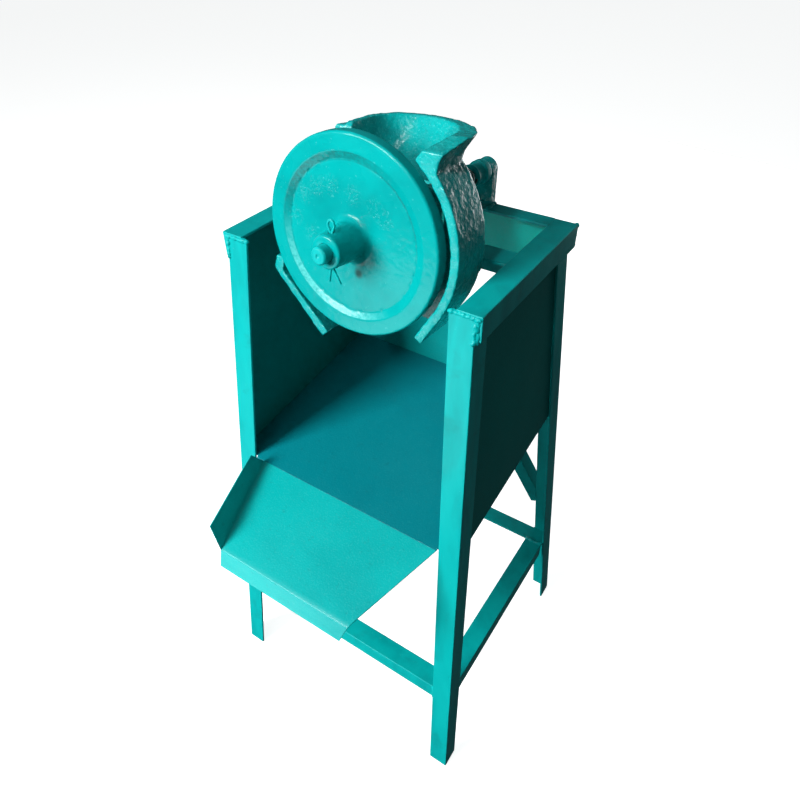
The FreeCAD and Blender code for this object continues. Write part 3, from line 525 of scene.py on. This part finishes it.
def spoutPiece():
    # the sheet's upper skin only, folds rounded, then thickened again
    piece = nodeCopy("spout_apron", "spoutApron", sheetPaint)
    work = bmesh.new()
    work.from_mesh(piece.data)
    outward = Vector(spoutLook["outward"]).normalized()
    under = [face for face in work.faces if face.normal.dot(outward) < spoutLook["facing"]
             or face.calc_area() < spoutLook["smallFace"]]
    bmesh.ops.delete(work, geom=under, context="FACES")
    work.to_mesh(piece.data)
    work.free()
    fold = piece.modifiers.new("folds", "BEVEL")
    fold.width = spoutLook["fold"]
    fold.segments = 5
    fold.limit_method = "ANGLE"
    fold.angle_limit = math.radians(spoutLook["foldAngle"])
    wall = piece.modifiers.new("wall", "SOLIDIFY")
    wall.thickness = spoutLook["wall"]
    wall.offset = -1.0
    rim = piece.modifiers.new("rim", "BEVEL")
    rim.width = edgeLook["sheetEdge"]
    rim.segments = 2
    rim.limit_method = "ANGLE"
    rim.angle_limit = math.radians(spoutLook["rimAngle"])
    piece.data.shade_smooth()
    piece.modifiers.new("flats", "WEIGHTED_NORMAL")
    bakeModifiers(piece)
    return finishPiece(piece, "stand", ["spout_apron"])


spoutPiece()
print("spout folded")

castPiece("toothed_disc", discPaint, {
    "voxel": 0.00095, "rounding": 2, "depth": 0.0004, "grain": 260.0, "lumps": 45.0, "seed": 3})
castPiece("housing_casting", castPaint, {
    "voxel": 0.0012, "rounding": 3, "depth": 0.0010, "grain": 210.0, "lumps": 70.0, "seed": 5})
castPiece("rear_bearing", castPaint, {
    "voxel": 0.0009, "rounding": 2, "depth": 0.0006, "grain": 240.0, "lumps": 80.0, "seed": 7})
castPiece("pressure_plate", castPaint, {
    "voxel": 0.0008, "rounding": 1, "depth": 0.0004, "grain": 240.0, "lumps": 90.0, "seed": 9})
bevelledPiece("tension_post", castPaint, 0.0012, 3)
bevelledPiece("crank_arm", castPaint, 0.0008, 2)
print("castings dressed")

shaftLook = {"radius": 8.0, "chamfer": 1.5, "centreHole": 2.0, "holeLip": 0.3, "holeEdge": 0.4, "rounding": 0.5}


def nodeSpan(node):
    # first and last place of a node along the shaft, in millimetres
    places = [(headMatrix.inverted() @ vertex.co).y for vertex in frame["nodes"][node].data.vertices]
    return min(places), max(places)


def shaftPiece():
    front, back = nodeSpan("drive_shaft")
    radius = shaftLook["radius"]
    chamfer = shaftLook["chamfer"]
    hole = shaftLook["centreHole"]
    lip = hole + shaftLook["holeLip"]
    edge = shaftLook["holeEdge"]
    profile = [(0, front + hole), (hole, front + edge), (lip, front), (radius - chamfer, front),
               (radius, front + chamfer), (radius, back - chamfer), (radius - chamfer, back),
               (lip, back), (hole, back - edge), (0, back - hole)]
    profile = roundedProfile(profile, shaftLook["rounding"])
    return lathePiece("drive_shaft", profile, smallPaint, closed=False)


def ringPiece(node, outer, inner, material, centre=(0.0, 0.0), edge=0.4):
    front, back = nodeSpan(node)
    profile = [(inner, front), (outer, front), (outer, back), (inner, back)]
    return lathePiece(node, roundedProfile(profile, edge, 3, True), material, centre)


shaftPiece()
rodPlace = (41.0, 31.0)  # the guide rod, across and above the shaft
ringPiece("thrust_washer", 16.0, 8.3, darkSteel)
ringPiece("rear_thrust_washer", 16.0, 8.3, darkSteel)
ringPiece("front_bush", 11.0, 8.05, bushBronze, edge=0.3)
ringPiece("middle_bush", 11.0, 8.05, bushBronze, edge=0.3)
ringPiece("rear_bearing_bush", 11.0, 8.05, bushBronze, edge=0.3)
ringPiece("spring_washer", 11.5, 6.3, smallPaint, rodPlace)

nutLook = {"radius": 12.0, "bore": 6.05, "rounding": 3.4, "neckRadius": 9.5, "neckShare": 0.6}


def handNut():
    front, back = nodeSpan("hand_nut")
    radius = nutLook["radius"]
    neck = nutLook["neckRadius"]
    shoulder = front + (back - front) * nutLook["neckShare"]
    profile = [(nutLook["bore"], front), (neck, front), (neck, shoulder), (radius, shoulder), (radius, back),
               (nutLook["bore"], back)]
    return lathePiece("hand_nut", roundedProfile(profile, nutLook["rounding"], 6, True), barPaint, rodPlace)


handNut()


def threadedRod():
    # rod with a helical thread between its two plain ends
    look = {"radius": 5.45, "depth": 0.7, "pitch": 1.75, "segments": 28, "perTurn": 6, "plain": 4.0}
    front, back = nodeSpan("guide_rod")
    rings = int((back - front) / look["pitch"] * look["perTurn"])
    work = bmesh.new()
    grid = []
    for row in range(rings + 1):
        along = front + (back - front) * row / rings
        fade = min(1.0, (along - front) / look["plain"], (back - along) / look["plain"])
        ring = []
        for index in range(look["segments"]):
            angle = 2 * math.pi * index / look["segments"]
            phase = (along / look["pitch"] - index / look["segments"]) % 1.0
            radius = look["radius"] - look["depth"] * max(0.0, fade) * abs(2 * phase - 1)
            ring.append(work.verts.new((rodPlace[0] + radius * math.cos(angle), along,
                                        rodPlace[1] + radius * math.sin(angle))))
        grid.append(ring)
    for first, second in zip(grid, grid[1:]):
        for index in range(look["segments"]):
            following = (index + 1) % look["segments"]
            work.faces.new((first[index], first[following], second[following], second[index]))
    work.faces.new(grid[0])
    work.faces.new(grid[-1])
    bmesh.ops.recalc_face_normals(work, faces=work.faces)
    mesh = bpy.data.meshes.new("guideRod")
    work.to_mesh(mesh)
    work.free()
    mesh.transform(headMatrix)
    piece = pieceFromMesh("guideRod", mesh, darkSteel)
    softShade(piece, 50)
    return finishPiece(piece, "stand", ["guide_rod"])


threadedRod()

gripLook = {"armLength": 150.0, "restAngle": 40.0, "radius": 14.0, "endRadius": 10.5, "bore": 6.1, "steps": 40,
            "grooves": 3, "grooveStart": 9.0, "grooveStep": 4.2, "grooveWidth": 0.9, "grooveDepth": 0.7,
            "pinRadius": 6.0, "headRadius": 9.0, "headHeight": 3.0, "pinRounding": 1.2}
gripAngle = math.radians(gripLook["restAngle"])
gripPlace = (-gripLook["armLength"] * math.sin(gripAngle), -gripLook["armLength"] * math.cos(gripAngle))


def crankGrip():
    # turned wooden grip, fullest in the middle, with scribed rings near its ends
    front, back = nodeSpan("crank_grip")
    length = back - front
    profile = [(gripLook["bore"], front)]
    for step in range(gripLook["steps"] + 1):
        part = step / gripLook["steps"]
        swell = math.sin(math.pi * part)
        radius = gripLook["endRadius"] + (gripLook["radius"] - gripLook["endRadius"]) * swell
        nearEnd = min(part, 1 - part) * length
        if nearEnd < 1.0:
            radius -= 1.0 - nearEnd
        for groove in range(gripLook["grooves"]):
            away = nearEnd - gripLook["grooveStart"] - gripLook["grooveStep"] * groove
            radius -= gripLook["grooveDepth"] * math.exp(-(away / gripLook["grooveWidth"]) ** 2)
        profile.append((radius, front + length * part))
    profile.append((gripLook["bore"], back))
    return lathePiece("crank_grip", profile, gripWood, gripPlace, degrees=60)


def gripPin():
    front, back = nodeSpan("grip_pin")
    neck = back - gripLook["headHeight"]
    profile = [(0, front), (gripLook["pinRadius"], front), (gripLook["pinRadius"], neck),
               (gripLook["headRadius"], neck), (gripLook["headRadius"], back), (0, back)]
    profile = roundedProfile(profile, gripLook["pinRounding"])
    return lathePiece("grip_pin", profile, smallPaint, gripPlace, closed=False)


crankGrip()
gripPin()
print("turned pieces made")


def splitPin():
    # doubled wire through the hub: an eye above, two legs opened out below
    look = {"place": -25.0, "wire": 1.15, "hub": 15.5, "eyeWidth": 3.8, "eyeTop": 26.5, "legDrop": 14.5,
            "legEnds": (-3.0, 9.5)}
    half = look["wire"] * 0.75
    hub = look["hub"]
    foot = -hub - look["legDrop"]
    left, right = look["legEnds"]
    eye = [(-half, hub), (-half - 0.6, hub + 1.5), (-look["eyeWidth"], hub + 5.5),
           (-look["eyeWidth"] * 0.7, look["eyeTop"] - 1.5), (0, look["eyeTop"])]
    route = [(left, foot), (left * 0.8, foot + 6), (-half - 0.3, -hub - 1.5), (-half, -hub + 2)] + eye
    route += [(-across, up) for across, up in reversed(eye[:-1])]
    route += [(half, -hub + 2), (half + 0.4, -hub - 1.5), (right * 0.6, foot + 6), (right, foot)]
    curve = bpy.data.curves.new("splitPin", "CURVE")
    curve.dimensions = "3D"
    curve.bevel_depth = look["wire"]
    curve.bevel_resolution = 4
    curve.use_fill_caps = True
    line = curve.splines.new("NURBS")
    line.points.add(len(route) - 1)
    for point, (across, up) in zip(line.points, route):
        point.co = (across, look["place"], up, 1.0)
    line.order_u = 3
    line.use_endpoint_u = True
    line.resolution_u = 6
    piece = bpy.data.objects.new("splitPinCurve", curve)
    bpy.context.scene.collection.objects.link(piece)
    bpy.context.view_layer.update()
    mesh = bpy.data.meshes.new_from_object(piece.evaluated_get(bpy.context.evaluated_depsgraph_get()))
    bpy.data.objects.remove(piece)
    mesh.transform(headMatrix)
    pin = pieceFromMesh("splitPin", mesh, smallPaint)
    softShade(pin, 60)
    return finishPiece(pin, "drive", ["split_pin"])


splitPin()
print("split pin bent")


def newTree(name, inputs):
    tree = bpy.data.node_groups.new(name, "GeometryNodeTree")
    tree.interface.new_socket("Geometry", in_out="INPUT", socket_type="NodeSocketGeometry")
    for title, kind in inputs:
        tree.interface.new_socket(title, in_out="INPUT", socket_type=kind)
    tree.interface.new_socket("Geometry", in_out="OUTPUT", socket_type="NodeSocketGeometry")
    return tree, tree.nodes.new("NodeGroupInput"), tree.nodes.new("NodeGroupOutput")


def endTree(tree, start, end, geometry):
    # realize and colour what the tree has made
    realize = tree.nodes.new("GeometryNodeRealizeInstances")
    paint = tree.nodes.new("GeometryNodeSetMaterial")
    tree.links.new(geometry, realize.inputs["Geometry"])
    tree.links.new(realize.outputs["Geometry"], paint.inputs["Geometry"])
    tree.links.new(start.outputs["Material"], paint.inputs["Material"])
    tree.links.new(paint.outputs["Geometry"], end.inputs["Geometry"])


def runTree(piece, tree, values):
    modifier = piece.modifiers.new(tree.name, "NODES")
    modifier.node_group = tree
    for item in tree.interface.items_tree:
        if item.in_out == "INPUT" and item.name in values:
            modifier[item.identifier] = values[item.name]
    return bakeModifiers(piece)


def weldTree():
    # uneven beads along the seams, melted into one lumpy fill
    tree, start, end = newTree("weldSeam", (
        ("Spacing", "NodeSocketFloat"), ("Bead Radius", "NodeSocketFloat"), ("Wander", "NodeSocketFloat"),
        ("Voxel", "NodeSocketFloat"), ("Seed", "NodeSocketInt"), ("Material", "NodeSocketMaterial")))
    line = tree.nodes.new("GeometryNodeMeshToCurve")
    tree.links.new(start.outputs["Geometry"], line.inputs["Mesh"])
    spread = tree.nodes.new("GeometryNodeCurveToPoints")
    spread.mode = "LENGTH"
    tree.links.new(line.outputs["Curve"], spread.inputs["Curve"])
    tree.links.new(start.outputs["Spacing"], spread.inputs["Length"])
    drift = tree.nodes.new("FunctionNodeRandomValue")
    drift.data_type = "FLOAT_VECTOR"
    drift.inputs[0].default_value = (-1, -1, -1)
    drift.inputs[1].default_value = (1, 1, 1)
    tree.links.new(start.outputs["Seed"], drift.inputs["Seed"])
    scaled = tree.nodes.new("ShaderNodeVectorMath")
    scaled.operation = "SCALE"
    tree.links.new(drift.outputs["Value"], scaled.inputs[0])
    tree.links.new(start.outputs["Wander"], scaled.inputs["Scale"])
    move = tree.nodes.new("GeometryNodeSetPosition")
    tree.links.new(spread.outputs["Points"], move.inputs["Geometry"])
    tree.links.new(scaled.outputs["Vector"], move.inputs["Offset"])
    size = tree.nodes.new("FunctionNodeRandomValue")
    size.inputs["Min"].default_value = 0.7
    size.inputs["Max"].default_value = 1.15
    tree.links.new(start.outputs["Seed"], size.inputs["Seed"])
    radius = tree.nodes.new("ShaderNodeMath")
    radius.operation = "MULTIPLY"
    tree.links.new(start.outputs["Bead Radius"], radius.inputs[0])
    tree.links.new(size.outputs[1], radius.inputs[1])
    melt = tree.nodes.new("GeometryNodePointsToVolume")
    melt.resolution_mode = "VOXEL_SIZE"
    tree.links.new(move.outputs["Geometry"], melt.inputs["Points"])
    tree.links.new(radius.outputs[0], melt.inputs["Radius"])
    tree.links.new(start.outputs["Voxel"], melt.inputs["Voxel Size"])
    skin = tree.nodes.new("GeometryNodeVolumeToMesh")
    tree.links.new(melt.outputs["Volume"], skin.inputs["Volume"])
    endTree(tree, start, end, skin.outputs["Mesh"])
    return tree


def seamMesh(name, seams):
    work = bmesh.new()
    for route in seams:
        dots = [work.verts.new(point) for point in route]
        for first, second in zip(dots, dots[1:]):
            work.edges.new((first, second))
    mesh = bpy.data.meshes.new(name)
    work.to_mesh(mesh)
    work.free()
    return mesh


weldLayout = {"spacing": 0.0016, "bead": 0.0024, "wander": 0.0006, "voxel": 0.0008, "seed": 11,
              "legTop": 667.0, "railLow": 645.0, "legCorner": 138.0, "railInner": 141.0, "legInner": 113.0,
              "railMiddle": 140.0, "frontRun": (1.5, 24.0), "rearRun": (172.0, 194.0), "rearSide": 141.5,
              "rearFace": 200.0, "rearHeights": (646.0, 668.0)}
boxSeamLook = {"inset": 0.0005, "endInset": 0.0012, "flange": 0.0225, "edge": 0.001, "foot": 0.003,
               "back": 0.002, "crossEnd": 0.0015, "crossUp": 0.022, "crossBack": 0.004}


def standSeams():
    # seams at the legs' tops and under the top rails, placed in millimetres
    seams = []
    look = weldLayout
    below = look["railLow"] - 0.5
    for side in (-1, 1):
        corner = side * (look["legCorner"] + 1.6)
        seams.append([standPoint(side * look["legInner"], 0.8, look["legTop"] - 0.5),
                      standPoint(side * look["railInner"], 0.8, look["legTop"] - 0.5)])
        for shift in (0.0, 2.2):
            seams.append([standPoint(corner - side * shift, 1.0, look["legTop"] - 1),
                          standPoint(corner + side * (0.6 - shift), 0.6 - shift, look["railLow"] - 1)])
        for run in (look["frontRun"], look["rearRun"]):
            seams.append([standPoint(side * look["railMiddle"], back, below) for back in run])
        seams.append([standPoint(side * look["rearSide"], look["rearFace"], up) for up in look["rearHeights"]])
    return seams


def boxSeams():
    # short seams where rails, cross bar and braces end
    seams = []
    look = boxSeamLook
    edge = look["edge"]
    for rail in ("low_rail_front", "low_rail_rear"):
        low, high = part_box(rail)
        outer = low.y + look["inset"] if rail.endswith("front") else high.y - look["inset"]
        for x, step in ((low.x + look["endInset"], 1), (high.x - look["endInset"], -1)):
            end = x + look["inset"] * step
            flange = x + look["flange"] * step
            foot = low.z + look["foot"]
            seams.append([Vector((end, low.y + look["back"], high.z)), Vector((end, high.y - edge, high.z))])
            seams.append([Vector((flange, outer, high.z - edge)), Vector((flange, outer, foot))])
    for rail in ("low_rail_left", "low_rail_right"):
        low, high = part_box(rail)
        for y in (low.y, high.y):
            seams.append([Vector((low.x + edge, y, high.z)), Vector((high.x - edge, y, high.z))])
    low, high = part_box("head_cross_bar")
    for x in (low.x + look["crossEnd"], high.x - look["crossEnd"]):
        seams.append([Vector((x, low.y + edge, low.z + look["crossUp"])),
                      Vector((x, high.y - look["crossBack"], low.z + look["crossUp"]))])
    low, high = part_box("tension_post")
    seams.append([Vector((low.x, low.y + edge, low.z)), Vector((low.x, high.y, low.z)),
                  Vector((high.x, high.y, low.z)), Vector((high.x, low.y + edge, low.z))])
    return seams


def weldBeads():
    piece = pieceFromMesh("weldBeads", seamMesh("weldBeads", standSeams() + boxSeams()), weldPaint)
    runTree(piece, weldTree(), {"Spacing": weldLayout["spacing"], "Bead Radius": weldLayout["bead"],
                                "Wander": weldLayout["wander"], "Voxel": weldLayout["voxel"],
                                "Seed": weldLayout["seed"], "Material": weldPaint})
    piece.data.shade_smooth()
    return finishPiece(piece, "stand", [])


weldBeads()
print("weld beads laid")


def fastenerTree():
    # chamfered hexagon, made where a hexagonal bar meets a cone, with a shank through it
    look = {"chamferRadius": 0.475, "coneSlope": 1.9, "coneSides": 48, "shankSides": 32}
    tree, start, end = newTree("hexFastener", (
        ("Across Flats", "NodeSocketFloat"), ("Height", "NodeSocketFloat"),
        ("Shank Radius", "NodeSocketFloat"), ("Shank Length", "NodeSocketFloat"),
        ("Shank Start", "NodeSocketFloat"), ("Turn", "NodeSocketVector"), ("Material", "NodeSocketMaterial")))

    def maths(operation, first, second):
        node = tree.nodes.new("ShaderNodeMath")
        node.operation = operation
        for socket, value in zip(node.inputs, (first, second)):
            if isinstance(value, float):
                socket.default_value = value
            else:
                tree.links.new(value, socket)
        return node.outputs[0]

    def shifted(geometry, height):
        move = tree.nodes.new("GeometryNodeTransform")
        place = tree.nodes.new("ShaderNodeCombineXYZ")
        tree.links.new(height, place.inputs["Z"])
        tree.links.new(geometry, move.inputs["Geometry"])
        tree.links.new(place.outputs["Vector"], move.inputs["Translation"])
        return move.outputs["Geometry"]

    flats = start.outputs["Across Flats"]
    height = start.outputs["Height"]
    bar = tree.nodes.new("GeometryNodeMeshCylinder")
    bar.inputs["Vertices"].default_value = 6
    tree.links.new(maths("DIVIDE", flats, math.sqrt(3)), bar.inputs["Radius"])
    tree.links.new(height, bar.inputs["Depth"])
    cone = tree.nodes.new("GeometryNodeMeshCone")
    cone.inputs["Vertices"].default_value = look["coneSides"]
    tree.links.new(maths("MULTIPLY", flats, look["chamferRadius"]), cone.inputs["Radius Top"])
    spread = maths("ADD", maths("MULTIPLY", flats, look["chamferRadius"]),
                   maths("MULTIPLY", height, look["coneSlope"]))
    tree.links.new(spread, cone.inputs["Radius Bottom"])
    tree.links.new(height, cone.inputs["Depth"])
    meet = tree.nodes.new("GeometryNodeMeshBoolean")
    meet.operation = "INTERSECT"
    meet.solver = "EXACT"  # the default solver's mesh differs from run to run
    tree.links.new(shifted(bar.outputs["Mesh"], maths("MULTIPLY", height, 0.5)), meet.inputs["Mesh 2"])
    tree.links.new(cone.outputs["Mesh"], meet.inputs["Mesh 2"])
    shank = tree.nodes.new("GeometryNodeMeshCylinder")
    shank.inputs["Vertices"].default_value = look["shankSides"]
    tree.links.new(start.outputs["Shank Radius"], shank.inputs["Radius"])
    tree.links.new(start.outputs["Shank Length"], shank.inputs["Depth"])
    middle = maths("ADD", start.outputs["Shank Start"], maths("MULTIPLY", start.outputs["Shank Length"], 0.5))
    both = tree.nodes.new("GeometryNodeJoinGeometry")
    tree.links.new(meet.outputs["Mesh"], both.inputs["Geometry"])
    tree.links.new(shifted(shank.outputs["Mesh"], middle), both.inputs["Geometry"])
    place = tree.nodes.new("GeometryNodeInstanceOnPoints")
    points = tree.nodes.new("GeometryNodeMeshToPoints")
    tree.links.new(start.outputs["Geometry"], points.inputs["Mesh"])
    tree.links.new(points.outputs["Points"], place.inputs["Points"])
    tree.links.new(both.outputs["Geometry"], place.inputs["Instance"])
    tree.links.new(start.outputs["Turn"], place.inputs["Rotation"])
    endTree(tree, start, end, place.outputs["Instances"])
    return tree


hexFastener = fastenerTree()


def fasteners(node, points, look):
    # heads or nuts standing on the given points
    mesh = bpy.data.meshes.new(camelName(node))
    mesh.from_pydata([tuple(point) for point in points], [], [])
    piece = pieceFromMesh(camelName(node), mesh, smallPaint)
    runTree(piece, hexFastener, {
        "Across Flats": look["flats"], "Height": look["height"], "Shank Radius": look["shank"],
        "Shank Length": look["length"], "Shank Start": look["start"], "Turn": look["turn"],
        "Material": smallPaint})
    softShade(piece, 25)
    return finishPiece(piece, bodyOf(node), [node])


def footFasteners():
    flats = 0.017
    low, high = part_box("casing_bolts")
    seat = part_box("casing_washers")[1].z
    middle = (low.y + high.y) / 2
    across = (high.x - low.x) / 2 - flats / 2
    points = [(side * across, middle, seat) for side in (-1, 1)]
    fasteners("casing_bolts", points, {
        "flats": flats, "height": 0.0064, "shank": 0.005, "length": seat - low.z, "start": low.z - seat,
        "turn": (0, 0, 0)})
    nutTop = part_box("casing_nuts")[1].z
    points = [(side * across, middle, nutTop) for side in (-1, 1)]
    fasteners("casing_nuts", points, {
        "flats": flats, "height": 0.008, "shank": 0.0052, "length": 0.007, "start": 0.0005,
        "turn": (math.pi, 0, 0)})


def bearingFasteners():
    flats = 0.013
    barWall = 0.003
    nutLow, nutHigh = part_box("rear_bearing_nuts")
    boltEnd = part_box("rear_bearing_bolts")[1].y
    height = (nutLow.z + nutHigh.z) / 2
    across = nutHigh.x - flats / 2
    points = [(side * across, nutLow.y, height) for side in (-1, 1)]
    fasteners("rear_bearing_nuts", points, {
        "flats": flats, "height": 0.0065, "shank": 0.004, "length": 0.0005, "start": 0.0,
        "turn": (-math.pi / 2, 0, 0)})
    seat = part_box("top_rail_rear")[1].y - barWall
    points = [(side * across, seat, height) for side in (-1, 1)]
    fasteners("rear_bearing_bolts", points, {
        "flats": flats, "height": 0.0045, "shank": 0.004, "length": boltEnd - seat, "start": seat - boltEnd,
        "turn": (math.pi / 2, 0, 0)})


footFasteners()
bearingFasteners()
for node in ("casing_washers", "crank_set_screw"):
    bevelledPiece(node, smallPaint, edgeLook["sheetEdge"])
print("fasteners set")


def springTree():
    tree, start, end = newTree("coilSpring", (
        ("Turns", "NodeSocketFloat"), ("Mean Radius", "NodeSocketFloat"), ("Length", "NodeSocketFloat"),
        ("Wire Radius", "NodeSocketFloat"), ("Material", "NodeSocketMaterial")))
    coil = tree.nodes.new("GeometryNodeCurveSpiral")
    coil.inputs["Resolution"].default_value = 36
    tree.links.new(start.outputs["Turns"], coil.inputs["Rotations"])
    tree.links.new(start.outputs["Mean Radius"], coil.inputs["Start Radius"])
    tree.links.new(start.outputs["Mean Radius"], coil.inputs["End Radius"])
    tree.links.new(start.outputs["Length"], coil.inputs["Height"])
    wire = tree.nodes.new("GeometryNodeCurvePrimitiveCircle")
    wire.inputs["Resolution"].default_value = 12
    tree.links.new(start.outputs["Wire Radius"], wire.inputs["Radius"])
    sweep = tree.nodes.new("GeometryNodeCurveToMesh")
    sweep.inputs["Fill Caps"].default_value = True
    tree.links.new(coil.outputs["Curve"], sweep.inputs["Curve"])
    tree.links.new(wire.outputs["Curve"], sweep.inputs["Profile Curve"])
    endTree(tree, start, end, sweep.outputs["Mesh"])
    return tree


def tensionSpring():
    # two halves that meet at a fixed middle
    look = {"turns": 9.0, "meanRadius": 9.0, "wire": 1.0, "plateTravel": 12.0, "washerTravel": 7.0}
    front, back = nodeSpan("tension_spring")
    front += look["wire"]
    back -= look["wire"]
    middle = (front + back) / 2
    tree = springTree()
    upright = Matrix.Rotation(-math.pi / 2, 4, "X")
    halfTurns = look["turns"] * math.pi
    halves = (("springFrontHalf", front, 0.0, "plate_slide", shaftAxis, look["plateTravel"]),
              ("springRearHalf", middle, halfTurns, "washer_slide", -shaftAxis, look["washerTravel"]))
    for name, begin, phase, joint, axis, travel in halves:
        half = pieceFromMesh(name, bpy.data.meshes.new(name), springSteel)
        runTree(half, tree, {"Turns": look["turns"] / 2, "Mean Radius": look["meanRadius"],
                             "Length": middle - front, "Wire Radius": look["wire"], "Material": springSteel})
        place = Matrix.Translation((rodPlace[0], begin, rodPlace[1]))
        half.data.transform(headMatrix @ place @ upright @ Matrix.Rotation(phase, 4, "Z"))
        half.data.shade_smooth()
        finishPiece(half, "stand", ["tension_spring"])
        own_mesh(half)


tensionSpring()
print("spring wound")

studio = {  # eye and aim in the stand's millimetres, focal length in the picture's pixels
    "eye": (331.557, -398.404, 954.808), "aim": (0.0, 94.086, 452.230), "roll": -0.76, "focal": 652.16,
    "picture": 800.0, "floor": (0.86, 0.87, 0.87), "world": (0.75, 0.80, 0.82), "worldStrength": 0.05,
    "floorGlow": 1.0,
}


def addFloor():
    # paper sweep: level under the machine, then rising all round, seen by the camera alone
    look = {"flat": 6000.0, "rise": 4000.0, "top": 14000.0, "steps": 12, "grain": 1.5, "shade": 0.985,
            "rough": 0.9}
    profile = [(0.0, 0.0), (look["flat"], 0.0)]
    for step in range(1, look["steps"] + 1):
        angle = math.pi / 2 * step / look["steps"]
        profile.append((look["flat"] + look["rise"] * math.sin(angle), look["rise"] * (1 - math.cos(angle))))
    profile.append((look["flat"] + look["rise"], look["top"]))
    upright = Matrix.Rotation(math.pi / 2, 4, "X") @ Matrix.Scale(0.001, 4)
    material, tree, coords, shader = newMaterial("floorPaper")
    tint = noiseNode(tree, coords, look["grain"], 2.0)
    pale = studio["floor"]
    colour = rampNode(tree, tint, ((0.3, tuple(part * look["shade"] for part in pale)), (0.7, pale)))
    tree.links.new(colour, shader.inputs["Base Color"])
    shader.inputs["Roughness"].default_value = look["rough"]
    shader.inputs["Emission Color"].default_value = (*pale, 1.0)
    shader.inputs["Emission Strength"].default_value = studio["floorGlow"]
    sweep = latheMesh("studioFloor", profile, closed=False, matrix=upright)
    floor = pieceFromMesh("studioFloor", sweep, material)
    floor.data.shade_smooth()
    floor.visible_diffuse = False
    floor.visible_glossy = False


def addLight(name, look):
    kind = "SPOT" if "cone" in look else "AREA"
    light = bpy.data.lights.new(name, kind)
    light.energy = look["power"]
    if kind == "SPOT":
        light.spot_size = math.radians(look["cone"])
        light.spot_blend = 0.7
        light.shadow_soft_size = look["size"]
    else:
        light.size = look["size"]
    light.color = look["colour"]
    lamp = bpy.data.objects.new(name, light)
    lamp.location = look["place"]
    lamp.visible_camera = False
    lamp.rotation_euler = (Vector(look["aim"]) - Vector(look["place"])).to_track_quat("-Z", "Y").to_euler()
    bpy.context.scene.collection.objects.link(lamp)


def addWorld():
    world = bpy.data.worlds.new("studioWorld")
    world.use_nodes = True
    backing = world.node_tree.nodes["Background"]
    backing.inputs["Color"].default_value = (*studio["world"], 1.0)
    backing.inputs["Strength"].default_value = studio["worldStrength"]
    bpy.context.scene.world = world


def addCamera():
    data = bpy.data.cameras.new("photoCamera")
    data.sensor_width = 36.0
    data.lens = studio["focal"] * data.sensor_width / studio["picture"]
    camera = bpy.data.objects.new("photoCamera", data)
    eye = standPoint(*studio["eye"])
    aim = standPoint(*studio["aim"])
    turn = (aim - eye).to_track_quat("-Z", "Y").to_matrix().to_4x4()
    turn = turn @ Matrix.Rotation(math.radians(studio["roll"]), 4, "Z")
    camera.matrix_world = Matrix.Translation(eye) @ turn
    bpy.context.scene.collection.objects.link(camera)
    bpy.context.scene.camera = camera


addFloor()
addWorld()
lights = {
    "keyLight": {"power": 71.0, "size": 0.9, "colour": (1.0, 1.0, 0.98), "place": (-0.9, -1.9, 1.5),
                 "aim": (0, 0, 0.45)},
    "hopperSpot": {"power": 52.0, "size": 0.12, "cone": 9.0, "colour": (1.0, 1.0, 1.0),
                   "place": (0.1, -1.4, 2.0), "aim": (0.03, -0.01, 0.76)},
    "highlight": {"power": 3.0, "size": 0.6, "colour": (1.0, 1.0, 1.0), "place": (0.1, -1.4, 2.0),
                  "aim": (0, -0.05, 0.7)},
    "topLight": {"power": 1.5, "size": 1.2, "colour": (0.97, 1.0, 1.0), "place": (-0.5, 0.3, 2.2),
                 "aim": (0, 0, 0.4)},
    "rightFill": {"power": 0.4, "size": 1.0, "colour": (0.95, 1.0, 1.0), "place": (2.2, -0.2, 0.9),
                  "aim": (0, 0, 0.4)},
    "backFill": {"power": 20.0, "size": 1.2, "colour": (0.97, 1.0, 1.0), "place": (0.3, 2.4, 0.4),
                 "aim": (0, 0, 0.5)},
    "leftFill": {"power": 4.0, "size": 1.2, "colour": (0.97, 1.0, 1.0), "place": (-2.3, 0.3, 1.0),
                 "aim": (0, 0, 0.5)},
    "lipLight": {"power": 2.5, "size": 0.5, "colour": (1.0, 1.0, 1.0), "place": (-0.45, -1.04, 0.02),
                 "aim": (-0.05, -0.3, 0.36)},
}
for lightName, look in lights.items():
    addLight(lightName, look)
addCamera()
print("studio lit")
